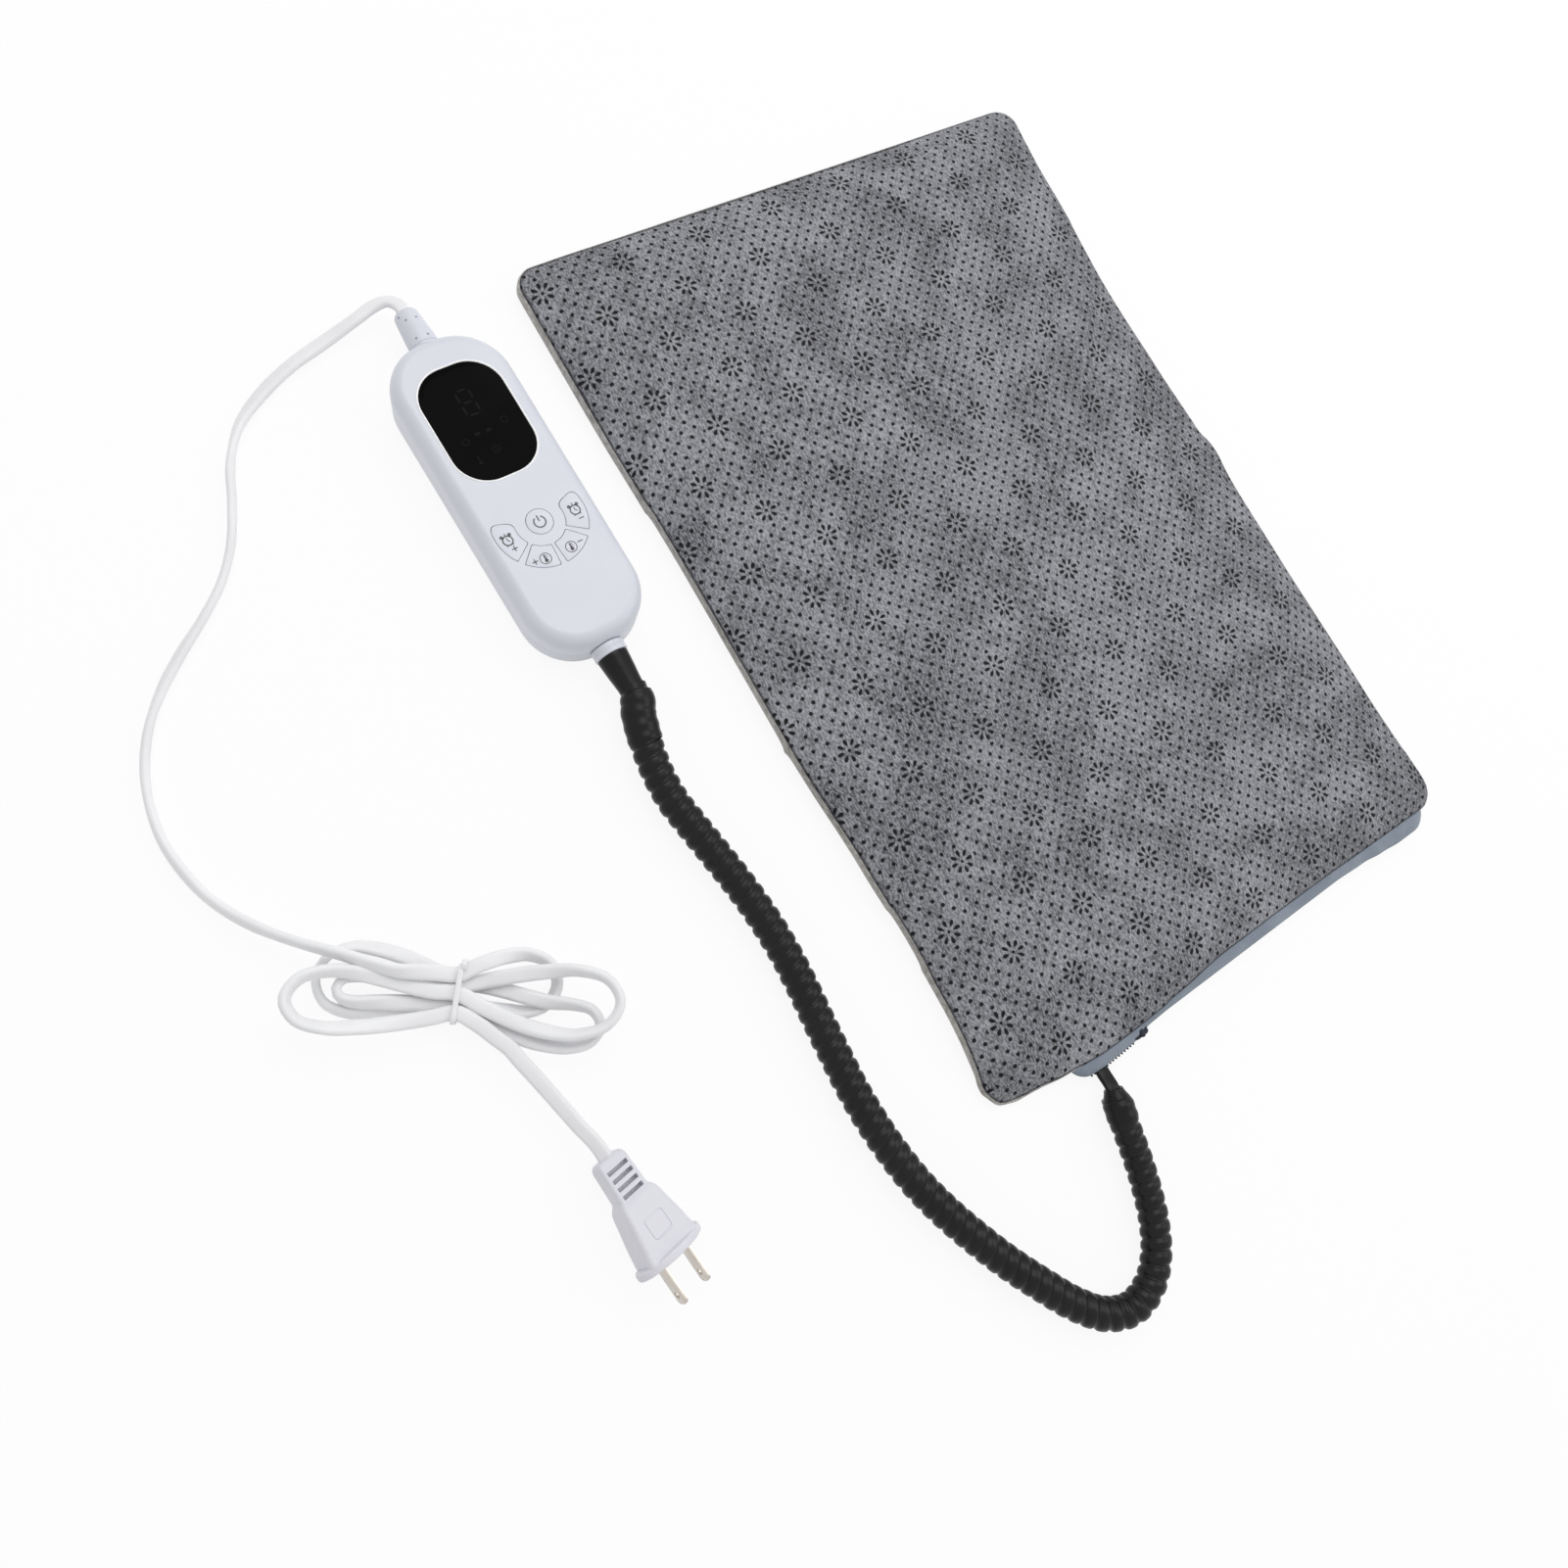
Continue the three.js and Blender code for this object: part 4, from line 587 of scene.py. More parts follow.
# Flat lead: from the board through the hose and the zip's end to its joint in the pad
ZIP_LEFT = -107.5
ZIP_RIGHT = 138.5
ZIP_SLANT = 0.5
ZIP_MIDDLE = (15.5, -230.5)
LEAD_X = -95.4
LEAD_WIDTH = 7.0
LEAD_THICK = 2.9


def zip_line(x):
    return ZIP_MIDDLE[1] + (x - ZIP_MIDDLE[0]) * math.tan(math.radians(ZIP_SLANT))


def lead_route():
    points = [on_controller(6, -51, 12.5), on_controller(1.5, -61, 11.45)]
    points += [on_controller(0, y, EXIT_HEIGHT) for y in (-68, -SHELL_END, SLEEVE_Y)]
    points += hose_points + [hose_stretch(hose_length - 1, hose_length + 4.3, HOSE_STEP)[-1]]
    points += [on_pad(LEAD_X + aside, zip_line(LEAD_X) + inward, z)
               for aside, inward, z in ((-1.8, -8.5, 6.7), (-0.8, -4.2, 4.2), (0, 1.5, 3.3), (0, 10, 4.1))]
    points += [on_pad(LEAD_X, -214, 5.9), on_pad(LEAD_X, -207.8, 5.9)]
    return smooth_route(points, CORD_STEP)


lead_line = lead_route()
flat_cable = flat_lead("lead_cable_flat", lead_line, LEAD_WIDTH, LEAD_THICK)


# Node trees: short calls that add a node, feed its inputs and hand back its outputs
class Nodes:
    def __init__(self, tree):
        self.tree = tree

    def node(self, kind, **settings):
        made = self.tree.nodes.new("ShaderNode" + kind)
        for name, value in settings.items():
            setattr(made, name, value)
        return made

    def feed(self, socket, value):
        if isinstance(value, bpy.types.NodeSocket):
            self.tree.links.new(value, socket)
        else:
            socket.default_value = value

    def fed(self, kind, *values, **settings):
        made = self.node(kind, **settings)
        for socket, value in zip(made.inputs, values):
            self.feed(socket, value)
        return made.outputs

    def maths(self, operation, *values):
        return self.fed("Math", *values, operation=operation)[0]

    def add(self, a, b):
        return self.maths("ADD", a, b)

    def less(self, a, b):
        return self.maths("SUBTRACT", a, b)

    def times(self, a, b):
        return self.maths("MULTIPLY", a, b)

    def most(self, a, b):
        return self.maths("MAXIMUM", a, b)

    def ramp(self, value, low, high, start=0.0, stop=1.0):
        return self.fed("MapRange", value, low, high, start, stop, interpolation_type="SMOOTHSTEP")[0]

    def blend(self, factor, first, second):
        made = self.node("Mix", data_type="RGBA")
        for k, value in ((0, factor), (6, (*first, 1) if isinstance(first, tuple) else first), (7, (*second, 1))):
            self.feed(made.inputs[k], value)
        return made.outputs[2]

    def speckle(self, place, scale, detail=3.0, rough=0.55):
        made = self.node("TexNoise")
        for name, value in (("Vector", place), ("Scale", scale), ("Detail", detail), ("Roughness", rough)):
            self.feed(made.inputs[name], value)
        return made.outputs[0]

    def split(self, vector):
        return self.fed("SeparateXYZ", vector)

    def group(self, tree, **values):
        made = self.node("Group", node_tree=tree)
        for name, value in values.items():
            made.inputs[name].default_value = value
        return made.outputs

    def bump(self, shader, height, distance):
        made = self.node("Bump")
        made.inputs["Distance"].default_value = distance
        made.inputs["Strength"].default_value = 1.0
        self.feed(made.inputs["Height"], height)
        self.feed(shader["Normal"], made.outputs[0])


def node_group(name, inputs, outputs):
    tree = bpy.data.node_groups.new(name, "ShaderNodeTree")
    for label, value in inputs:
        tree.interface.new_socket(label, in_out="INPUT", socket_type="NodeSocketFloat").default_value = value
    for label in outputs:
        tree.interface.new_socket(label, in_out="OUTPUT", socket_type="NodeSocketFloat")
    given = tree.nodes.new("NodeGroupInput").outputs
    made = tree.nodes.new("NodeGroupOutput").inputs
    nodes = Nodes(tree)
    return nodes, given, made, nodes.node("TexCoord").outputs["Object"]


# Moulded grain: slow clouding and a fine eggshell surface for plastics and rubber
def moulded_grain_group():
    nodes, given, made, place = node_group("moulded_grain", [("Grain", 1400.0)], ["Cloud", "Surface"])
    nodes.feed(made["Cloud"], nodes.ramp(nodes.speckle(place, 38.0), 0.3, 0.7))
    nodes.feed(made["Surface"], nodes.speckle(place, given["Grain"], 2.0))
    return nodes.tree


# Felted fibres: light and dark hairs, rubbed patches and a nap for bump
def felted_fibres_group():
    nodes, given, made, place = node_group("felted_fibres", [("Fineness", 1100.0), ("Patches", 26.0)],
                                           ["Fibre", "Patch", "Nap"])
    hairs = []
    for turn, stretch in ((25, 2.2), (-50, 2.0), (80, 2.4)):
        mapped = nodes.node("Mapping")
        nodes.feed(mapped.inputs["Vector"], place)
        mapped.inputs["Rotation"].default_value = (0, 0, math.radians(turn))
        mapped.inputs["Scale"].default_value = (1, 1 / stretch, 1)
        hairs.append(nodes.speckle(mapped.outputs[0], given["Fineness"], 2.0, 0.6))
    mixed = nodes.add(nodes.add(hairs[0], hairs[1]), hairs[2])
    nodes.feed(made["Fibre"], nodes.ramp(nodes.maths("DIVIDE", mixed, 3.0), 0.41, 0.59))
    nodes.feed(made["Patch"], nodes.ramp(nodes.speckle(place, given["Patches"], 4.0, 0.62), 0.34, 0.66))
    nodes.feed(made["Nap"], nodes.add(mixed, nodes.speckle(place, 420.0, 2.0)))
    return nodes.tree


# Print of dots and eight-petalled daisies on a slanting lattice, a little astray here and there
DAISY_ROWS = ((6.943, 24.308, -21.638), (1.983, -22.514, -21.637))
DAISY_EAST = (21.34, -21.31)
DAISY_NORTH = (-22.23, -23.97)
DOTS_PER_DAISY = 6
PETALS = 8
PETAL_START = 2.0
STRAY = 0.0016


def dot_and_daisy_group():
    nodes, given, made, place = node_group("dot_and_daisy", [("Petal", 5.6)], ["Print"])
    add, less, times, maths = nodes.add, nodes.less, nodes.times, nodes.maths
    stray = nodes.node("TexNoise")
    stray.inputs["Scale"].default_value = 55.0
    nodes.feed(stray.inputs["Vector"], place)
    shift = nodes.fed("VectorMath", stray.outputs["Color"], (STRAY, STRAY, 0), place, operation="MULTIPLY_ADD")
    x, y = [less(part, STRAY / 2) for part in nodes.split(shift[0])[:2]]
    i, j = [add(maths("MULTIPLY_ADD", x, across, offset), times(y, along)) for offset, across, along in DAISY_ROWS]

    def nearest(share):
        part = []
        for value in (i, j):
            steps = times(value, float(share))
            part.append(less(steps, maths("ROUND", steps)))
        east, north = [add(times(part[0], way[0] / share), times(part[1], way[1] / share))
                       for way in (DAISY_EAST, DAISY_NORTH)]
        return east, north, maths("SQRT", add(times(east, east), times(north, north)))

    east, north, reach = nearest(1)
    turn = times(maths("ARCTAN2", north, east), PETALS / (2 * math.pi))
    off = times(less(turn, maths("ROUND", turn)), 2 * math.pi / PETALS)
    across = maths("ABSOLUTE", times(reach, maths("SINE", off)))
    share = maths("DIVIDE", less(reach, PETAL_START), less(given["Petal"], PETAL_START))
    inside = nodes.most(less(1.0, share), 0.0)
    drop = times(times(nodes.most(share, 0.0), 2.5), maths("SQRT", inside))
    petals = times(nodes.ramp(less(drop, across), -0.12, 0.28), nodes.ramp(share, 0.0, 0.12))
    heart = nodes.ramp(reach, 1.0, 0.55)
    dots = times(nodes.ramp(nearest(DOTS_PER_DAISY)[2], 1.2, 0.75), nodes.ramp(reach, 6.6, 7.2))
    nodes.feed(made["Print"], nodes.most(nodes.most(petals, heart), dots))
    return nodes.tree


MOULDED_GRAIN = moulded_grain_group()
FELTED_FIBRES = felted_fibres_group()
DOT_AND_DAISY = dot_and_daisy_group()


def new_finish(name):
    finish = bpy.data.materials.new(name)
    finish.use_nodes = True
    return finish, Nodes(finish.node_tree), finish.node_tree.nodes["Principled BSDF"].inputs


# A moulded plastic, rubber or metal: two close tones, a varying gloss and a fine surface
def moulded(name, tone, shade, rough, metal=0.0, grain=1400.0, depth=0.00002, gloss=0.5):
    finish, nodes, shader = new_finish(name)
    surface = nodes.group(MOULDED_GRAIN, Grain=grain)
    nodes.feed(shader["Base Color"], nodes.blend(surface["Cloud"], shade, tone))
    nodes.feed(shader["Roughness"], nodes.ramp(surface["Surface"], 0.3, 0.7, rough * 0.9, rough * 1.1))
    shader["Metallic"].default_value = metal
    shader["Specular IOR Level"].default_value = gloss
    nodes.bump(shader, surface["Surface"], depth)
    return finish


# A felted cloth: fibres, rubbed patches and a nap
FIBRE_SHARE = 0.68
PATCH_SHARE = 0.32


def felted(name, light, dark, fineness, patches, sheen=0.25, depth=0.0003):
    finish, nodes, shader = new_finish(name)
    fibres = nodes.group(FELTED_FIBRES, Fineness=fineness, Patches=patches)
    mixed = nodes.add(nodes.times(fibres["Fibre"], FIBRE_SHARE), nodes.times(fibres["Patch"], PATCH_SHARE))
    colour = nodes.blend(mixed, dark, light)
    nodes.feed(shader["Base Color"], colour)
    shader["Roughness"].default_value = 0.95
    shader["Sheen Weight"].default_value = sheen
    nodes.bump(shader, fibres["Nap"], depth)
    return finish, nodes, shader, colour


# The top's felt with its ink, and painted shade along the sewn seam, where the panel turns down into the crease
def printed_felt():
    finish, nodes, shader, colour = felted("printed_felt", (0.40, 0.405, 0.435), (0.07, 0.071, 0.08), 1250.0, 34.0,
                                           sheen=0.0)
    shader["Specular IOR Level"].default_value = 0.1
    ink = nodes.group(DOT_AND_DAISY)["Print"]
    colour = nodes.blend(nodes.times(ink, 0.98), colour, (0.005, 0.005, 0.006))
    height = nodes.node("Attribute", attribute_name="sewn_height").outputs["Fac"]
    # Painted shade: the felt's lowest band, where it turns down into the seam, is darkened
    painted_seam_shade = nodes.times(nodes.ramp(height, 0.0103, 0.0094), 0.8)
    nodes.feed(shader["Base Color"], nodes.blend(painted_seam_shade, colour, (0.02, 0.021, 0.026)))
    nodes.feed(shader["Roughness"], nodes.ramp(ink, 0.0, 1.0, 0.96, 0.62))
    return finish


PRINTED_FELT = printed_felt()
PLUSH = felted("plush_base", (0.52, 0.50, 0.47), (0.26, 0.245, 0.225), 700.0, 60.0, sheen=0.5, depth=0.0005)[0]
CORE_FELT = felted("core_felt", (0.72, 0.71, 0.68), (0.5, 0.49, 0.46), 900.0, 30.0)[0]
WADDING = felted("core_wadding", (0.82, 0.81, 0.78), (0.62, 0.61, 0.58), 500.0, 45.0, depth=0.0006)[0]
WHITE_SHELL = moulded("white_shell", (0.675, 0.69, 0.755), (0.65, 0.665, 0.735), 0.36, grain=2200.0)
# The shell's plastic in a brighter white for the window's bead: a painted highlight
RIM_PAINTED_HIGHLIGHT = moulded("rim_painted_highlight", (0.96, 0.96, 0.97), (0.93, 0.93, 0.94), 0.22)
WHITE_CORD = moulded("white_cord", (0.86, 0.86, 0.875), (0.81, 0.81, 0.83), 0.42, grain=900.0, depth=0.00004)
PLUG_WHITE = moulded("plug_white", (0.715, 0.715, 0.765), (0.68, 0.68, 0.735), 0.4, grain=1600.0)
SOOT, DEEP_SOOT = (0.009, 0.009, 0.0095), (0.006, 0.006, 0.0065)
BLACK_RUBBER = moulded("black_rubber", SOOT, DEEP_SOOT, 0.3, grain=800.0, depth=0.00004, gloss=0.2)
SHRINK_BLACK = moulded("shrunk_sleeve_black", SOOT, DEEP_SOOT, 0.3, grain=500.0, depth=0.00005, gloss=0.18)
WINDOW_BLACK = moulded("window_gloss", (0.004, 0.004, 0.0043), (0.003, 0.003, 0.0033), 0.08, grain=300.0,
                       depth=0.000002, gloss=0.012)
DIM_SEGMENT = moulded("dim_segment", (0.013, 0.013, 0.0135), SOOT, 0.12, grain=300.0, depth=0.000002, gloss=0.012)
SIGN_GREY = moulded("sign_grey", (0.13, 0.13, 0.14), (0.10, 0.10, 0.11), 0.55)
DARK_METAL = moulded("dark_metal", (0.03, 0.032, 0.045), (0.02, 0.021, 0.03), 0.42, metal=0.85, grain=700.0)
NICKEL = moulded("nickel_blade", (0.6, 0.55, 0.5), (0.5, 0.46, 0.41), 0.24, metal=1.0, grain=500.0)
STEEL = moulded("screw_steel", (0.62, 0.62, 0.63), (0.5, 0.5, 0.52), 0.32, metal=1.0, grain=900.0)
GREY_PART = moulded("grey_component", (0.26, 0.26, 0.27), (0.2, 0.2, 0.21), 0.5)
BOARD_GREEN = moulded("board_green", (0.045, 0.16, 0.065), (0.025, 0.11, 0.045), 0.4, grain=300.0)
WIRE_SKIN = moulded("wire_skin", (0.78, 0.74, 0.62), (0.70, 0.66, 0.55), 0.45, grain=600.0)


# Zip tape: herringbone weave along the tape, darker along its outer edge, with painted shadow where it runs under the
# panel's edge
def zip_tape_finish():
    finish, nodes, shader = new_finish("zip_tape_weave")
    along, across = nodes.split(nodes.node("UVMap", uv_map="along_tape").outputs[0])[:2]
    slant = nodes.maths("PINGPONG", nodes.times(across, 9.0), 1.0)
    rib = nodes.maths("SINE", nodes.maths("MULTIPLY_ADD", along, 5200.0, nodes.times(slant, 3.1)))
    rib = nodes.maths("MULTIPLY_ADD", rib, 0.5, 0.5)
    fibres = nodes.group(FELTED_FIBRES, Fineness=900.0, Patches=40.0)
    tone = nodes.add(nodes.times(rib, 0.35), nodes.times(fibres["Patch"], 0.65))
    colour = nodes.blend(tone, (0.165, 0.20, 0.25), (0.25, 0.29, 0.345))
    by_panel = nodes.split(nodes.node("UVMap", uv_map="by_panel").outputs[0])[0]
    # Darkening mask: a darker line along the tape's outer edge, and painted shadow where the tape runs under the
    # panel's edge
    line = nodes.most(nodes.ramp(across, 0.9, 0.97), nodes.ramp(by_panel, -0.0014, -0.0006))
    nodes.feed(shader["Base Color"], nodes.blend(nodes.times(line, 0.85), colour, (0.018, 0.022, 0.035)))
    shader["Roughness"].default_value = 0.8
    shader["Sheen Weight"].default_value = 0.2
    nodes.bump(shader, rib, 0.00006)
    return finish


ZIP_TAPE = zip_tape_finish()


# Declaring a piece: its finish, body and the solids that it stands for
def declare(piece, finish, slot, *solids, body=PAD_BODY):
    piece.data.materials.clear()
    piece.data.materials.append(finish)
    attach(piece, body)
    if solids:
        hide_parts(*solids)
    return piece


declare(mains_cord, WHITE_CORD, "white_cord", "mains_cord_upper", "mains_cord_hank", "mains_cord_lower")
declare(lead_hose, BLACK_RUBBER, "black_rubber", "lead_hose")
declare(flat_cable, BLACK_RUBBER, "black_rubber", "lead_cable")
declare(sleeve_by_controller, SHRINK_BLACK, "black_rubber", "shrink_controller_end")
declare(sleeve_by_pad, SHRINK_BLACK, "black_rubber", "shrink_pad_end")

# Pad: outline with its measured draw along each side, in the pad's own axes
PAD_WIDTH = 306
PAD_LENGTH = 442
PAD_CORNER = 12
CORNER_POINTS = 9
SIDE_PARTS = (36, 54)
SEAM = 9.15
COVER_THICK = 1.3
PANEL_SINK = 0.9
CROWN_LOW = 9.3
CROWN_RISE = 6.2
CROWN_EDGE = 0.8
RIGHT_DRAW = [(-221, 0), (-150, 2.6), (-70, 4), (-28, 4.7), (-15, 3.8), (-4, 1.3), (9, 5.2), (50, 6.8), (95, 7.8),
              (170, 3.5), (221, 0)]
LEFT_DRAW = [(-221, 0), (-165, 4.6), (-135, 5.4), (-100, 4), (-40, 1), (60, 1.6), (140, -0.2), (221, 0)]
END_BULGE = [(-153, 2.4), (-131, 3.4), (-112, 6.4), (-91, 8.4), (-70, 8.2), (-45, 6.9), (-11, 4), (53, 3.3),
             (99, 4.2), (138, 4.6), (153, 4)]


def drawn(x, y):
    side = x / (PAD_WIDTH / 2)
    pull = eased(RIGHT_DRAW if side > 0 else LEFT_DRAW, y)
    push = eased(END_BULGE, x) if y < 0 else 0
    return x - pull * side * abs(side), y - push * (y / (PAD_LENGTH / 2)) ** 2


def pad_ring(inset, z):
    corner = max(PAD_CORNER - inset, 2)
    corners = rounded_outline(PAD_WIDTH - 2 * inset, PAD_LENGTH - 2 * inset, corner, steps=CORNER_POINTS - 1)
    ring = []
    for i, a in enumerate(corners):
        b = corners[(i + 1) % len(corners)]
        side, last = i // CORNER_POINTS % 2, i % CORNER_POINTS == CORNER_POINTS - 1
        parts = SIDE_PARTS[side] if last else 1
        ring += [(a[0] + (b[0] - a[0]) * k / parts, a[1] + (b[1] - a[1]) * k / parts) for k in range(parts)]
    return [Vector((*drawn(x, y), z)) for x, y in ring]


def crown(inset):
    edge, slow = 1 - math.exp(-inset / 3.5), 1 - math.exp(-inset / 45)
    return CROWN_LOW + CROWN_RISE * (CROWN_EDGE * edge + (1 - CROWN_EDGE) * slow)


def inset_at(x, y):
    return min(PAD_WIDTH / 2 - abs(x), PAD_LENGTH / 2 - abs(y))


# A crowned form on the pad's outline: rings up its rim, then ever smaller rings over its crown
def crowned_form(name, rim, sink):
    rings = [pad_ring(inset, z) for inset, z in rim]
    rings += [pad_ring(inset, crown(inset) - sink) for inset in (10, 20)]
    widest = rings[-1]
    for share in (0.75, 0.5, 0.25, 0.06):
        height = crown(20 + (1 - share) * 110) - sink
        rings.append([Vector((p.x * share, p.y * (share * 0.6 + 0.4), height)) for p in widest])
    return skin(name, rings)


# The whole pad as one closed form, remeshed finely, its top panel swelled by cloth pressure
def swelled_pad():
    rim = [(6, 0.25), (3, 0.6), (1.2, 1.8), (0.1, 3.6), (-0.4, 5.5), (0, 7.6), (0.5, 9.0)]
    rim += [(inset, crown(inset) - PANEL_SINK) for inset in (1.0, 2.2, 5)]
    form = crowned_form("pad_form", rim, PANEL_SINK)
    pad = copied(form, "pad_swelled")
    apply(pad, "REMESH", mode="VOXEL", voxel_size=4 * MM, adaptivity=0.0)
    apply(pad, "SMOOTH", factor=0.5, iterations=2)
    apply(pad, "SHRINKWRAP", target=form, wrap_method="NEAREST_SURFACEPOINT")
    apply(pad, "SMOOTH", factor=0.4, iterations=2)
    bpy.data.objects.remove(form)
    swell(pad)
    return apply(pad, "SUBSURF", levels=1, render_levels=1)


SWELL_FRAMES = 20
SWELL_MOST = 2.6 * MM


def swell(pad):
    held = pad.vertex_groups.new(name="held")
    for vertex in pad.data.vertices:
        x, y, z = vertex.co / MM
        if z < 6 or (inset_at(x, y) < 9 and z < 10.5):
            held.add([vertex.index], 1.0, "REPLACE")
    start = [v.co.copy() for v in pad.data.vertices]
    only(pad)
    cloth = pad.modifiers.new("cloth", "CLOTH")
    cloth.settings.quality = 5
    cloth.settings.mass = 0.3
    cloth.settings.tension_stiffness = 12
    cloth.settings.compression_stiffness = 12
    cloth.settings.bending_stiffness = 2
    cloth.settings.vertex_group_mass = "held"
    cloth.settings.use_pressure = True
    cloth.settings.uniform_pressure_force = 4
    cloth.settings.effector_weights.gravity = 0
    scene = bpy.context.scene
    for step in range(1, SWELL_FRAMES + 1):
        scene.frame_set(step)
    bpy.ops.object.modifier_apply(modifier=cloth.name)
    for vertex, before in zip(pad.data.vertices, start):
        move = vertex.co - before
        if move.length > 1e-9:
            vertex.co = before + move * (SWELL_MOST * math.tanh(move.length / SWELL_MOST) / move.length)
    scene.frame_set(1)
    pad.vertex_groups.clear()


# Soft unevenness of the laid panel: slow waves, fading out at the seam
def unsettle(pad):
    for vertex in pad.data.vertices:
        x, y, z = vertex.co / MM
        if z > 10:
            wide = noise.noise(Vector((x / 62, y / 62, 1.7))) * 0.55
            narrow = noise.noise(Vector((x / 24, y / 24, 5.1))) * 0.28
            vertex.co.z += (wide + narrow) * clamp((inset_at(x, y) - 4) / 25) * MM
        vertex.co.z = max(vertex.co.z, 0.1 * MM)
    pad.data.update()


# The near left corner lies down on the table, its edge thinner than the rest
LOW_CORNER = Vector((-150, -221))
LOW_CORNER_TABLE = 0.15


def settle_corner(half):
    for vertex in half.data.vertices:
        x, y, z = vertex.co / MM
        near = ease(1 - ((Vector((x, y)) - LOW_CORNER).length - 5) / 30)
        low = 0.6 * near * math.exp(-max(inset_at(x, y), 0) / 10)
        vertex.co.z = (LOW_CORNER_TABLE + (z - LOW_CORNER_TABLE) * (1 - low)) * MM
    half.data.update()
    return half


def half_of(pad, name, keep_top):
    half = copied(pad, name)
    edit(half)
    bpy.ops.mesh.bisect(plane_co=(0, 0, SEAM * MM), plane_no=(0, 0, 1), clear_inner=keep_top,
                        clear_outer=not keep_top)
    leave_edit()
    apply(half, "SOLIDIFY", thickness=COVER_THICK * MM, offset=-1)
    # Heights kept on the points: on the top's felt they place the painted shade along the seam
    height = half.data.attributes.new("sewn_height", "FLOAT", "POINT")
    height.data.foreach_set("value", [v.co.z for v in half.data.vertices])
    return half


pad_form = swelled_pad()
unsettle(pad_form)
top_panel = half_of(pad_form, "printed_top", True)
base_cover = half_of(pad_form, "plush_base", False)
bpy.data.objects.remove(pad_form)

# The removable core: a flat felt below the wire and crowned wadding above it
core_felt = skin("core_felt_flat", [pad_ring(*at) for at in ((11, 1.95), (10.5, 2.2), (10.5, 4.0), (11, 4.3))])
wadding = crowned_form("core_wadding_crowned", [(13, 7.5), (10.5, 7.8), (9.5, 8.6)], 3.7)
for soft in (top_panel, base_cover, core_felt, wadding):
    settle_corner(soft)
carve(base_cover, box("zip_mouth", (ZIP_LEFT + 1, -240, 2.2), (ZIP_RIGHT - 1, -212, 12)))
for soft, finish, slot, solid, fill in ((top_panel, PRINTED_FELT, "felt_print", "cover_top", 0.45),
                                        (base_cover, PLUSH, "plush", "cover_base", 0.45),
                                        (core_felt, CORE_FELT, "wadding", "core_felt", 0.7),
                                        (wadding, WADDING, "wadding", "core_wadding", 0.7)):
    declare(put(soften(soft, 60), PAD_TURN), finish, slot, solid)

# Zip: an upper tape that rolls over from under the panel to the teeth, a lower tape, teeth and slider
TAPE_COLUMNS = 130
TAPE_ROUNDING = 10
TAPE_BULGE = [(-112, 1.5), (-103, 2.9), (-94, 3.5), (-87, 3.2), (-72, 2.7), (-64, 0.4), (-50, 0), (70, 0), (91, 0.9),
              (105, 2.5), (119, 3.7), (130, 3.8), (142, 3)]
PANEL_END = 218.3


def tape(name, profile, left, right, thick, bulged):
    mesh = bmesh.new()
    sheet = mesh.loops.layers.uv.new("along_tape")
    fold = mesh.loops.layers.uv.new("by_panel")
    rows = []
    inner, outer = profile[0][0], profile[-1][0]
    for i in range(TAPE_COLUMNS + 1):
        x = left + (right - left) * i / TAPE_COLUMNS
        narrow = math.sqrt(1 - (1 - min(min(x - left, right - x) / TAPE_ROUNDING, 1)) ** 2) * 0.65 + 0.35
        push = eased(TAPE_BULGE, x) * bulged
        rows.append([])
        for d, z in profile:
            reach = (d - inner) - push * ((inner - d) / (inner - outer)) ** 0.7
            rows[-1].append(mesh.verts.new(Vector((x, zip_line(x) + inner + reach * narrow, z)) * MM))
    for i in range(TAPE_COLUMNS):
        for k in range(len(profile) - 1):
            corners = ((i, k), (i + 1, k), (i + 1, k + 1), (i, k + 1))
            face = mesh.faces.new([rows[a][b] for a, b in corners])
            for loop, (a, b) in zip(face.loops, corners):
                loop[sheet].uv = ((right - left) * a / TAPE_COLUMNS * MM, b / (len(profile) - 1))
                # Second map: the distance from the panel's edge, which places the painted shadow on the tape
                spot = rows[a][b].co
                loop[fold].uv = (spot.y + (PANEL_END + eased(END_BULGE, spot.x / MM)) * MM, 0)
    piece = apply(meshed(name, mesh), "SOLIDIFY", thickness=thick * MM, offset=0)
    apply(piece, "SUBSURF", levels=1, render_levels=1)
    return put(soften(piece, 60), PAD_TURN)


UPPER_TAPE = [(13.0, 8.0), (11.0, 8.2), (9.0, 8.4), (7.0, 8.45), (5.0, 8.2), (3.2, 7.5), (1.8, 6.6), (0.9, 5.9)]
LOWER_TAPE = [(13.5, 2.2), (9.0, 2.3), (5.0, 2.6), (1.0, 2.7)]
upper_tape = tape("zip_upper_tape", UPPER_TAPE, ZIP_LEFT - 4.5, ZIP_RIGHT + 3.7, 0.7, 1)
lower_tape = tape("zip_lower_tape", LOWER_TAPE, ZIP_LEFT + 16, ZIP_RIGHT, 0.6, 0)
declare(upper_tape, ZIP_TAPE, "zip_tape", "zip_tape_upper")
declare(lower_tape, ZIP_TAPE, "zip_tape", "zip_tape_lower")

# Teeth: meshed under the tape's edge right of the slider, single along the open edge left of it
TOOTH_PITCH = 1.9
OPEN_UNTIL = -74
SLIDER_X = -70.5


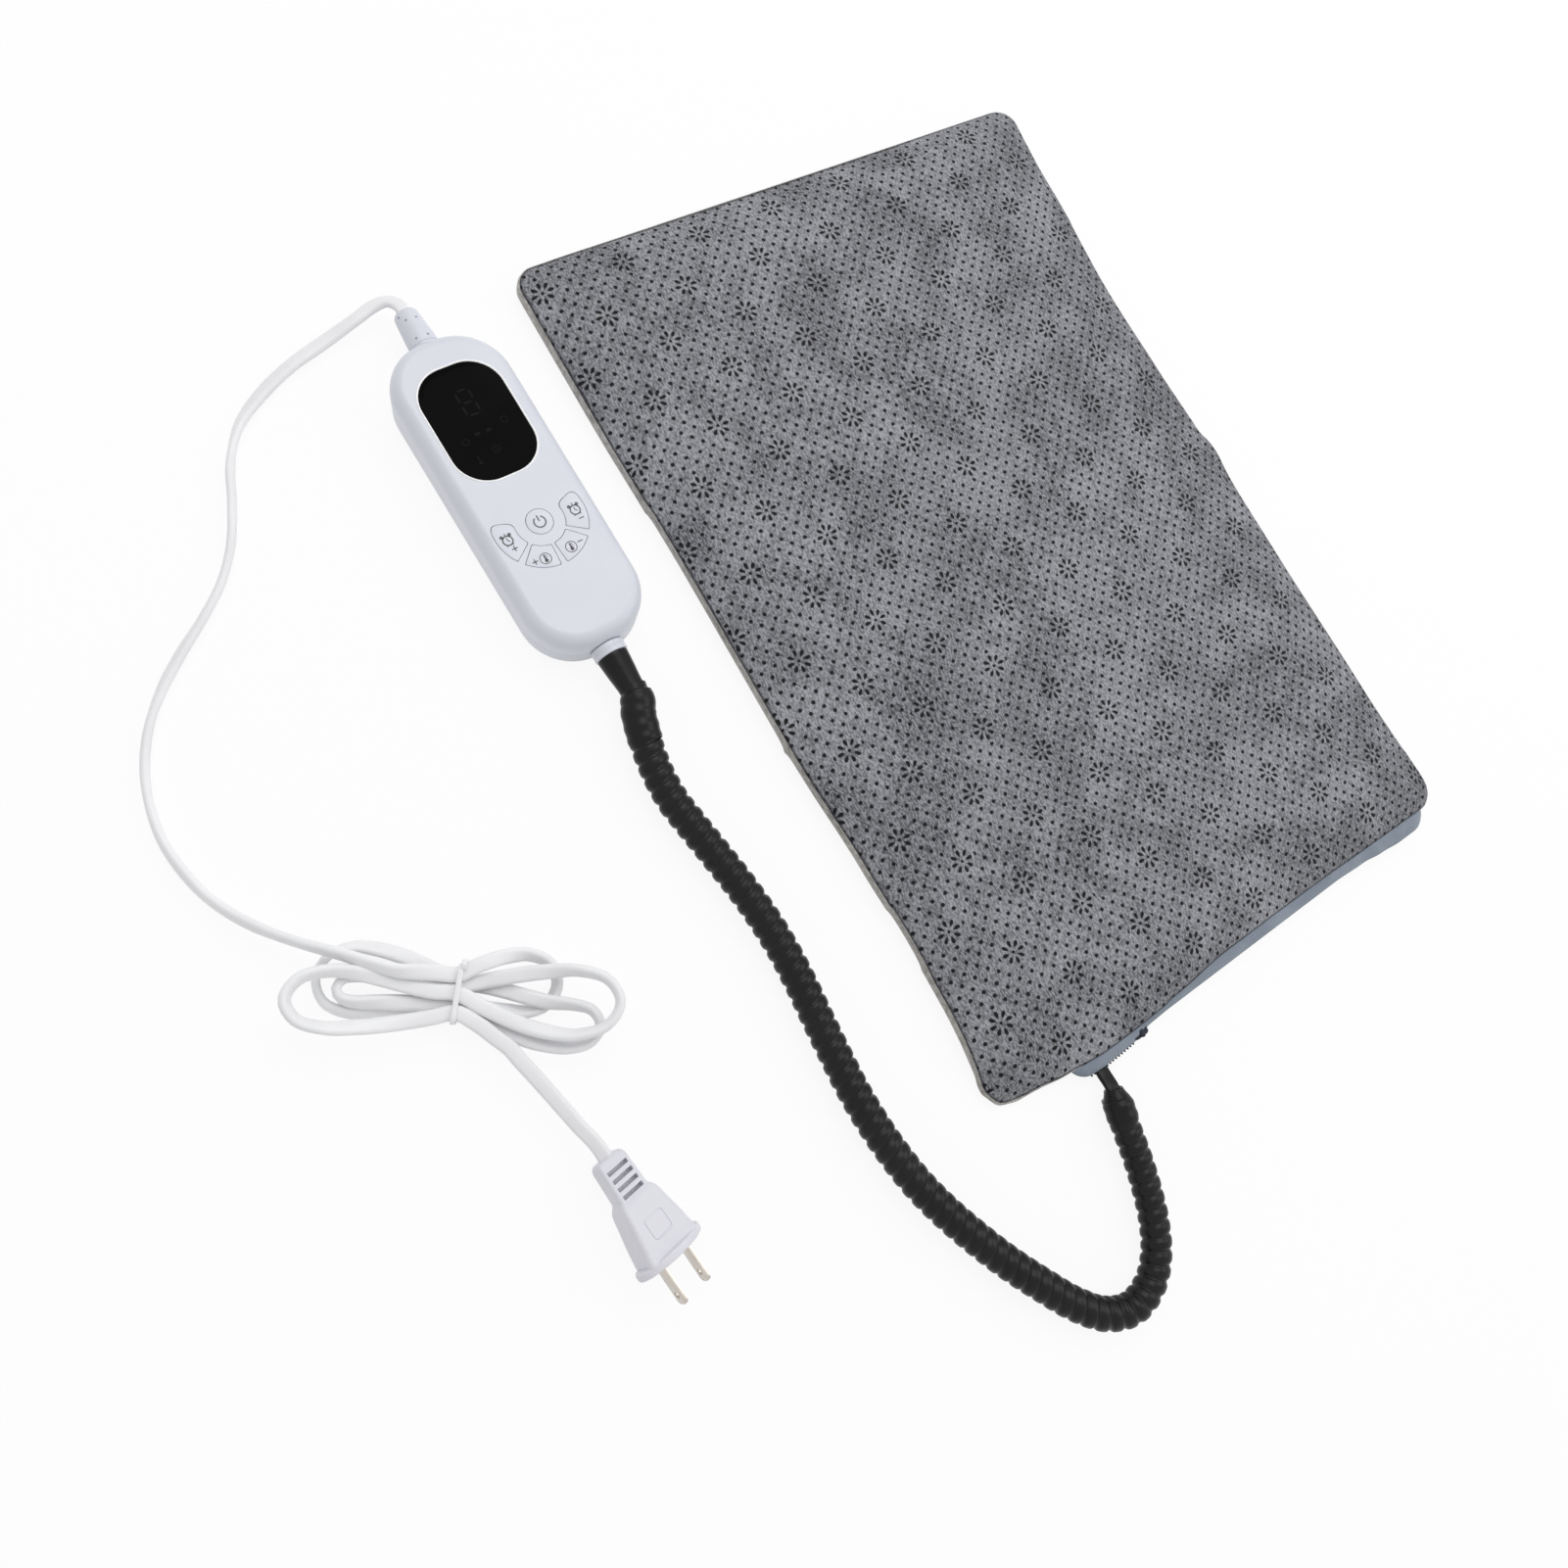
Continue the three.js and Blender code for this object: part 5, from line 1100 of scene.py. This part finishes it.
def zip_teeth():
    tooth = box("zip_coil", (-0.55, -1.1, 3.4), (0.55, 1.1, 4.9))
    round_edges(tooth, lambda e: True, 0.3, 1)
    teeth, x = [], ZIP_LEFT + 5
    while x < ZIP_RIGHT - 2:
        copy = new_object("zip_coil", tooth.data.copy())
        if x < OPEN_UNTIL:
            place = moved(x, zip_line(x) + 0.6 - eased(TAPE_BULGE, x), 3.1) @ Matrix.Diagonal((0.7, 0.5, 0.6, 1))
        else:
            place = moved(x, zip_line(x) + (2.2 if len(teeth) % 2 else 1.5), 0)
        teeth.append(put(copy, place))
        x += TOOTH_PITCH
    bpy.data.objects.remove(tooth)
    return put(merge("zip_coil", teeth), PAD_TURN)


declare(soften(zip_teeth(), 50), DARK_METAL, "dark_metal", "zip_teeth")


def zip_runner():
    runner = box("zip_runner", (-4.2, -1.7, 1.2), (4.2, 2.5, 7.3))
    round_edges(runner, upright, 1.5)
    carve(runner, box("coil_way", (-9, -0.7, 2.2), (9, 3.4, 5.6)), box("tape_way", (-9, 0.3, 4.8), (9, 9, 6.3)),
          box("low_tape_way", (-9, 0.3, 2.1), (9, 9, 3.1)))
    pull = cut_flat("zip_pull", rounded_outline(2.6, 4.6, 1.1, 0.4, 0.2), 7.2, 7.9, 0.25)
    bridge = box("pull_bridge", (-0.6, 0.6, 7.0), (1.2, 1.7, 8.3))
    round_edges(bridge, lambda e: sum(v.co.z for v in e.verts) / 2 > 7.7 * MM, 0.5, 3)
    runner = soften(merge("zip_runner", [runner, pull, bridge]), 40)
    return put(runner, moved(SLIDER_X, zip_line(SLIDER_X), 0) @ spun(ZIP_SLANT), PAD_TURN)


declare(zip_runner(), DARK_METAL, "dark_metal", "zip_slider", body="zip_slider")

# Controller shells: soft-edged boxes, hollowed, with their openings cut
SHELL_WIDTH = 55
SHELL_LENGTH = 154
SHELL_HEIGHT = 24
SHELL_CORNER = 24
SHELL_WALL = 2
PARTING = 11
WINDOW_Y = 33
WINDOW_WIDTH = 38
WINDOW_LENGTH = 55
KEYS_Y = -18.8
KEY_TOP = 24.15
KEY_INNER = 11.2
KEY_OUTER = 21
STEM_RING = 16.1
POWER_RADIUS = 5.8
SECTORS = {"time_plus": (-110, -55, 3.4, 0.8), "heat_plus": (-46, -4, 0.8, 0.8),
           "heat_minus": (4, 46, 0.8, 0.8), "time_minus": (55, 110, 0.8, 3.4)}
KEYS = ["power", *SECTORS]


def by_keys(radius, angle):
    return Vector((radius * math.sin(angle), KEYS_Y - radius * math.cos(angle)))


# A key between two angles of the ring, its corners rounded, its outer and inner edge on arcs
def sector_outline(low, high, low_corner, high_corner, grow):
    inner, outer = KEY_INNER - grow, KEY_OUTER + grow
    a0, a1 = math.radians(low), math.radians(high)
    points = []
    for radius, angle, side, corner in ((outer, a0, -1, low_corner), (outer, a1, 1, high_corner),
                                        (inner, a1, 1, high_corner), (inner, a0, -1, low_corner)):
        outside = radius == outer
        tip = angle + side * grow / radius
        along = by_keys(radius + (-corner if outside else corner), tip)
        on_arc = by_keys(radius, tip - side * corner / radius)
        first, last = (along, on_arc) if outside == (side < 0) else (on_arc, along)
        if points and outside == (side > 0):
            begin = math.atan2(points[-1].x, KEYS_Y - points[-1].y)
            end = math.atan2(first.x, KEYS_Y - first.y)
            points += [by_keys(radius, begin + (end - begin) * k / 16) for k in range(1, 16)]
        for k in range(6):
            t = k / 5
            points.append(first * (1 - t) ** 2 + by_keys(radius, tip) * (2 * t * (1 - t)) + last * t * t)
    return [(p.x, p.y) for p in points]


def key_outline(name, grow=0.0):
    if name == "power":
        return circle(0, KEYS_Y, POWER_RADIUS + grow, 48)
    return sector_outline(*SECTORS[name], grow)


def shell_half(name, low, high, edge_in, edge_down, top):
    squeeze = edge_in / edge_down
    low, high = low * squeeze, high * squeeze
    shell = box(name, (-SHELL_WIDTH / 2, -SHELL_LENGTH / 2, low), (SHELL_WIDTH / 2, SHELL_LENGTH / 2, high))
    round_edges(shell, upright, SHELL_CORNER, 14)
    round_edges(shell, lies_at(high if top else low), edge_in, 8)
    pick(shell, lies_at(low if top else high))
    bpy.ops.mesh.delete(type="FACE")
    leave_edit()
    put(shell, Matrix.Diagonal((1, 1, 1 / squeeze, 1)))
    return apply(shell, "SOLIDIFY", thickness=SHELL_WALL * MM, offset=-1, use_even_offset=True)


def end_holes():
    return [rod("boot_way", (0, SHELL_END, EXIT_HEIGHT), 5.5, 30, 40, lying=True),
            rod("collar_way", (0, -SHELL_END, EXIT_HEIGHT), 6.3, 30, 40, lying=True)]


def window_outline(grow):
    return rounded_outline(WINDOW_WIDTH + 2 * grow, WINDOW_LENGTH + 2 * grow, 15 + grow, 0, WINDOW_Y, 14)


def controller_front():
    front = shell_half("front_shell", PARTING + 0.15, SHELL_HEIGHT, 6, 8, True)
    carve(front, *[cut_flat("key_way", key_outline(name, 0.2), 20, 26) for name in KEYS])
    lip = cut_flat("window_lip", window_outline(0.95), 23.75, 24.6)
    seat = cut_flat("window_seat", window_outline(0.25), 22.6, 24.6)
    through = cut_flat("window_way", window_outline(-2), 18, 23.5)
    carve(front, lip, seat, through, *end_holes())
    return put(soften(front, 32, weighted=True), CONTROLLER)


def controller_back():
    back = shell_half("back_shell", 0, PARTING, 4, 4, False)
    sinks = [rod("screw_sink", (x, y, 0), 3.1, 6) for x in (-17, 17) for y in (-56, 56)]
    carve(back, *sinks, *end_holes())
    return put(soften(back, 32, weighted=True), CONTROLLER)


# The window's rim: a thin polished bead round its seat, one piece with the front shell; its brighter white is a
# painted highlight
def window_rim():
    outline = window_outline(0.5)
    rings = []
    for i, (x, y) in enumerate(outline):
        before, after = outline[i - 1], outline[(i + 1) % len(outline)]
        way = Vector((after[0] - before[0], after[1] - before[1], 0)).normalized()
        rings.append(round_ring(Vector((x, y, 23.9)), Vector((way.y, -way.x, 0)), Vector((0, 0, 1)), 0.46, 10))
    return put(soften(skin("window_rim", rings, looped=True), 70), CONTROLLER)


front_shell = controller_front()
rim = window_rim()
rim_faces = len(rim.data.polygons)
front_shell = merge("front_shell", [front_shell, rim])
declare(front_shell, WHITE_SHELL, "white_shell", "controller_front")
# The bead's faces take the brighter white of the painted highlight
front_shell.data.materials.append(RIM_PAINTED_HIGHLIGHT)
for face in list(front_shell.data.polygons)[-rim_faces:]:
    face.material_index = 1
declare(controller_back(), WHITE_SHELL, "white_shell", "controller_back")

# Display window and the dim segments and marks behind its face
window = cut_flat("gloss_window", window_outline(0), 22.8, 24.0, 0.3)
declare(put(soften(window, 40), CONTROLLER), WINDOW_BLACK, "window_black", "display_window")


# A flat sign is put together from bars, rings and discs, then pressed thin a hair above a face
RING_POINTS = 36


def bar(x, y, long, thick, turn=0):
    piece = cut_flat("sign_bar", rounded_outline(long, thick, thick * 0.45, steps=3), 0, 1)
    return put(piece, moved(x, y, 0) @ spun(turn))


def disc(x, y, radius):
    return cut_flat("sign_disc", circle(x, y, radius, 20), 0, 1)


def ring(x, y, radius, thick):
    piece = cut_flat("sign_ring", circle(x, y, radius + thick / 2, RING_POINTS), 0, 1)
    return carve(piece, cut_flat("ring_way", circle(x, y, radius - thick / 2, RING_POINTS), -1, 2))


def open_ring(x, y, radius, thick, start, stop):
    turns = [math.radians(start + (stop - start) * k / RING_POINTS) for k in range(RING_POINTS + 1)]
    edges = [[(x + r * math.cos(t), y + r * math.sin(t)) for t in turns]
             for r in (radius + thick / 2, radius - thick / 2)]
    return cut_flat("sign_arc", edges[0] + edges[1][::-1], 0, 1)


def laid_sign(name, parts, low, high):
    return put(merge(name, parts), moved(0, 0, low) @ Matrix.Diagonal((1, 1, high - low, 1)), CONTROLLER)


def digit_eight(x, y, wide, tall):
    bars = [bar(x, y + up * tall / 2, wide * 0.62, 0.9) for up in (-1, 0, 1)]
    return bars + [bar(x + across * wide / 2, y + up * tall / 4, tall * 0.34, 0.9, 90)
                   for across in (-1, 1) for up in (-1, 1)]


def display_marks():
    marks = digit_eight(0.2, 42.2, 6.2, 12.2)
    marks += [ring(10.3, 29.2, 1.5, 0.45), bar(-3.3, 27.5, 2.6, 1.6), bar(1.8, 27.3, 2.6, 1.6),
              ring(-9.8, 25.9, 1.4, 0.45), ring(0.5, 18.2, 1.6, 0.45), bar(0.5, 18.2, 1.8, 0.4, 90),
              bar(-8.5, 16.9, 2.8, 0.6, 90), disc(-8.5, 15.2, 0.8)]
    return laid_sign("display_marks", marks, 23.98, 24.015)


declare(display_marks(), DIM_SEGMENT, "window_black")


# Keys: caps in the face on their stems, each with its sign
def key_cap(name):
    cap = cut_flat("cap_" + name, key_outline(name), 21.15, KEY_TOP, 0.3)
    x, y = 0, KEYS_Y
    if name != "power":
        x, y = by_keys(STEM_RING, math.radians((SECTORS[name][0] + SECTORS[name][1]) / 2))
    carve(cap, rod("key_stem", (x, y, 20.9), 1.8, 2.2, 16), how="UNION")
    return put(soften(cap, 40), CONTROLLER)


def alarm_clock(x, y):
    parts = [ring(x, y, 2.15, 0.62), bar(x, y + 0.62, 1.5, 0.42, 90), bar(x + 0.42, y - 0.3, 1.1, 0.42, -35),
             bar(x, y + 2.95, 1.1, 0.5, 90)]
    for side in (-1, 1):
        parts += [disc(x + side * 1.85, y + 2.25, 0.82), bar(x + side * 1.35, y - 2.15, 0.9, 0.5, side * -50)]
    return parts


def thermometer(x, y):
    parts = [ring(x, y, 2.45, 0.4), bar(x, y + 0.5, 2.9, 0.85, 90), disc(x, y - 1.05, 0.85)]
    return parts + [bar(x + 0.95, y + 0.1 + step, 0.6, 0.26) for step in (0.0, 0.6, 1.2)]


# Where each key's picture and its plus or minus stand
SIGN_SPOTS = {"time_plus": ((-16.3, -20.9), (-15.4, -25.2)), "heat_plus": ((-6.2, -34.7), (-10.9, -34.2)),
              "heat_minus": ((6.2, -34.7), (10.9, -34.0)), "time_minus": ((16.3, -20.6), (16.9, -24.9))}


def key_signs(name):
    if name == "power":
        parts = [open_ring(0, KEYS_Y - 0.2, 2.55, 0.66, 122, 418), bar(0, KEYS_Y + 1.5, 3.0, 0.66, 90)]
    else:
        picture, stroke = SIGN_SPOTS[name]
        parts = alarm_clock(*picture) if name.startswith("time") else thermometer(*picture)
        if name.endswith("plus"):
            parts += [bar(*stroke, 2.7, 0.5, turn) for turn in (0, 90)]
        else:
            parts.append(bar(*stroke, 2.5, 0.5))
    return laid_sign("sign_" + name, parts, KEY_TOP - 0.02, KEY_TOP + 0.03)


for key in KEYS:
    declare(key_cap(key), WHITE_SHELL, "white_shell", "key_" + key, body="key_" + key)
    declare(key_signs(key), SIGN_GREY, "white_shell", body="key_" + key)


# Pieces on the line through the shell's two ends
def at_shell_end(piece, y, degrees):
    return put(soften(piece, degrees), moved(0, y, EXIT_HEIGHT), CONTROLLER)


# Boot of the mains cord: tapered, with a groove at its base and small vent pits
def cord_boot():
    boot = turned("cord_boot", [
        (0, -6), (6.4, -6), (6.4, -3.5), (5.2, -3.5), (5.2, 0.3), (7.3, 0.3), (7.3, 1.2), (6.85, 1.5), (6.85, 1.9),
        (7.1, 2.2), (6.75, 7), (6.3, 12), (5.85, 17), (5.6, 19.2), (5.2, 19.9), (4.4, 20), (0, 20)], 56)
    for x, y in ((-2.8, 4.4), (2.8, 4.4), (-2.4, 14.2), (2.4, 14.2), (-4.2, 17.4)):
        height = math.sqrt((7.2 - 0.08 * y) ** 2 - x * x)
        carve(boot, rod("vent_pit", (x, y, height), 0.5, 1.6, 12))
    return at_shell_end(boot, SHELL_END, 32)


declare(cord_boot(), WHITE_SHELL, "white_shell", "mains_boot")

# Collar and tapered sleeve at the hose's end of the controller
collar = turned("hose_collar_ring", [
    (3.6, -5), (7.3, -5), (7.7, -4.7), (7.8, -3.2), (7.55, -2.9), (7.55, -2.4), (7.8, -2.1), (7.8, -0.3), (6, -0.3),
    (6, 3.5), (7.2, 3.5), (7.2, 6), (3.6, 6), (3.6, -5)], 56)
declare(at_shell_end(collar, -SHELL_END, 32), WHITE_SHELL, "white_shell", "hose_collar")
sleeve = turned("tapered_sleeve", [
    (3.6, -18.6), (5.7, -18.6), (5.8, -18.4), (5.85, -14.8), (6.15, -11.5), (6.55, -8), (6.85, -4.5), (7.1, -1.2),
    (7.2, -0.4), (7.1, 0), (3.6, 0), (3.6, -18.6)], 48)
declare(at_shell_end(sleeve, SLEEVE_Y, 40), SHRINK_BLACK, "black_rubber", "lead_sleeve")


# Plug: a rounded end drawn out step by step from the grip to the body, with an oval flange
GRIP_SLOTS = 4
SLOT_PITCH = 3.6
BLADE_X = 6.35


def drawn_out(name, width, height, corner, steps):
    clear_bench()
    bpy.ops.mesh.primitive_plane_add(size=1, rotation=(math.pi / 2, 0, 0))
    piece = put(named(name), Matrix.Diagonal((width * MM, 1, height * MM, 1)))
    edit(piece, "VERT")
    bpy.ops.mesh.bevel(offset=corner * MM, segments=8, affect="VERTICES")
    bpy.ops.mesh.select_mode(type="FACE")
    bpy.ops.mesh.select_all(action="SELECT")
    at = 0.0
    for y, wide, tall in steps:
        extrude(0, y - at, 0)
        bpy.ops.transform.resize(value=(wide / width, 1, tall / height), center_override=(0, y * MM, 0))
        at, width, height = y, wide, tall
    return outward(piece)


def plug_body():
    body = drawn_out("plug_body_soft", 10.3, 6.5, 1.0, [
        (0.5, 11.6, 7.8), (1.4, 12.7, 8.9), (2.8, 13.3, 9.5), (16.6, 14.1, 10), (17.3, 14.6, 10.4), (18.2, 15.8, 11.7),
        (19.3, 17.2, 13.1), (20.6, 18.1, 14.1), (22.5, 18.8, 14.7), (25, 19.5, 15), (33, 22.4, 15.8), (41, 24.8, 16),
        (43, 25, 16)])
    flange = turned("plug_flange", [(0, 42.5), (15.2, 42.5), (15.8, 42.7), (16, 43.1), (16, 45), (15.7, 45.6),
                                    (15.1, 45.9), (0, 45.9)], 72)
    carve(body, put(flange, Matrix.Diagonal((1, 1, 21 / 32, 1))), how="UNION")
    for k in range(GRIP_SLOTS):
        y = 16 - SLOT_PITCH * k
        for z in (4.8, -4.8):
            carve(body, box("grip_slot", (-5, y - 0.9, z - 3.4), (5, y + 0.9, z + 3.4)))
    return put(soften(body, 34, weighted=True), PLUG)


# A plain raised square on the plug's upper face
def plug_square():
    square = cut_flat("plug_square", rounded_outline(9.5, 9.5, 1.6, steps=5), 0, 0.45, 0.15, 2)
    carve(square, cut_flat("square_way", rounded_outline(8.4, 8.4, 1.1, steps=5), -1, 2))
    return put(soften(square, 35), moved(0, 31.5, 7.62) @ spun(2.2, "X"), PLUG)


def plug_blade(name, x):
    blade = cut_flat(name, rounded_outline(6.3, 19, 1.9, 0, 0, 6), -0.75, 0.75, 0.2, 2)
    carve(blade, rod("blade_hole", (0, 5.1, 0), 1.5, 4, 28))
    return put(soften(blade, 35), moved(x, 53.7, 0) @ spun(90, "Y"), PLUG)


plug_piece = declare(plug_body(), PLUG_WHITE, "white_shell", "plug_body")
plug_mark = declare(plug_square(), PLUG_WHITE, "white_shell")
blade_left = declare(plug_blade("blade_left", -BLADE_X), NICKEL, "nickel", "plug_blade_left")
blade_right = declare(plug_blade("blade_right", BLADE_X), NICKEL, "nickel", "plug_blade_right")

# Tie round the hank's waist: a thin flat band, a little aslant, with its short end tucked at one side
TIE_SLANT = 0.09
TIE_TUCK = ((9.5, 14.2), (10.9, 14.7), (12.2, 14.2), (12.9, 12.6), (13, 10.8))


def cord_tie():
    outline = rounded_outline(23.0, 13.4, 3.0, -0.3, 7.4, 8)
    side = Vector((1, 0, 0))
    rings = []
    for i, (v, z) in enumerate(outline):
        before, after = outline[i - 1], outline[(i + 1) % len(outline)]
        out = Vector((0, after[0] - before[0], after[1] - before[1])).normalized().cross(side)
        rings.append([Vector((TIE_SLANT * v, v, z)) + side * a + out * b for a, b in flat_oval(2.2, 0.7, 5)])
    band = skin("tie_band", rings, looped=True)
    tuck = smooth_route([Vector((1.1 + TIE_SLANT * v, v, z, 0)) for v, z in TIE_TUCK], 0.5)
    rings = [[p + side * a + up * b for a, b in flat_oval(2.2, 0.8, 5)] for p, across, up in stations(tuck)]
    return put(soften(merge("hank_tie", [band, skin("tie_end", rings)]), 60), HANK)


tie = declare(cord_tie(), WHITE_CORD, "white_cord", "cord_tie")

# The cords' lengths and the hose's points in metres, worked out and not used
route_length(mains_route) * MM
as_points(in_metres(spaced(hose_fine, 5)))
route_length(lead_line) * MM

# Finishes of the solids that stay: the wire and joint in the pad and what is inside the controller
for finish, solids in (
        (GREY_PART, ["thermal_cutout", "display_module", "mains_capacitor", "triac", "supply_capacitor",
                     *("switch_" + key for key in KEYS)]),
        (STEEL, ["fuse", *(f"screw_{k}" for k in range(1, 5))]), (WIRE_SKIN, ["heating_wire"]),
        (BLACK_RUBBER, ["lead_joint"]), (BOARD_GREEN, ["circuit_board"]), (WHITE_CORD, ["mains_inner_lead"])):
    for solid in solids:
        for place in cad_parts[solid].material_slots:
            place.material = finish


# Stage: a white floor that keeps a soft shadow, and a white surround
def seen_rays(nodes):
    path = nodes.node("LightPath").outputs
    return nodes.most(nodes.most(path["Is Camera Ray"], path["Is Glossy Ray"]), path["Is Transmission Ray"])


def white_floor():
    clear_bench()
    bpy.ops.mesh.primitive_plane_add(size=8, location=(0, 0, -0.0002))
    floor = named("white_floor")
    finish = bpy.data.materials.new("white_floor")
    finish.use_nodes = True
    finish.node_tree.nodes.clear()
    nodes = Nodes(finish.node_tree)
    matt = nodes.fed("BsdfDiffuse", (0.94, 0.94, 0.94, 1))[0]
    glow = nodes.fed("Emission", (1, 1, 1, 1), 1.0)[0]
    mixed = nodes.fed("MixShader", nodes.times(seen_rays(nodes), 0.9), matt, glow)[0]
    nodes.fed("OutputMaterial", mixed)
    floor.data.materials.append(finish)


def white_surround():
    world = bpy.data.worlds.new("white_surround")
    bpy.context.scene.world = world
    world.use_nodes = True
    nodes = Nodes(world.node_tree)
    back = world.node_tree.nodes["Background"].inputs
    back["Color"].default_value = (1, 1, 1, 1)
    x, y, z = nodes.split(nodes.node("TexCoord").outputs["Generated"])
    light = nodes.times(nodes.ramp(z, 0.0, 1.0, 0.95, 0.41), nodes.ramp(x, -1.0, 1.0, 0.92, 1.1))
    nodes.feed(back["Strength"], nodes.most(light, seen_rays(nodes)))


LAMP_AIM = Vector((-0.1, 0, 0))


def soft_lamp(name, place, size, power):
    lamp = bpy.data.lights.new(name, "AREA")
    lamp.shape = "DISK"
    lamp.size = size
    lamp.energy = power
    way = LAMP_AIM - Vector(place)
    turn = way.to_track_quat("-Z", "Y").to_matrix().to_4x4()
    new_object(name, lamp).matrix_world = Matrix.Translation(place) @ turn


white_floor()
white_surround()
soft_lamp("lamp_over", (0.25, 0.68, 1.5), 1.4, 10.8)
soft_lamp("lamp_right", (1.0, -0.4, 1.1), 1.0, 4.3)
bpy.context.scene.view_settings.view_transform = "Standard"
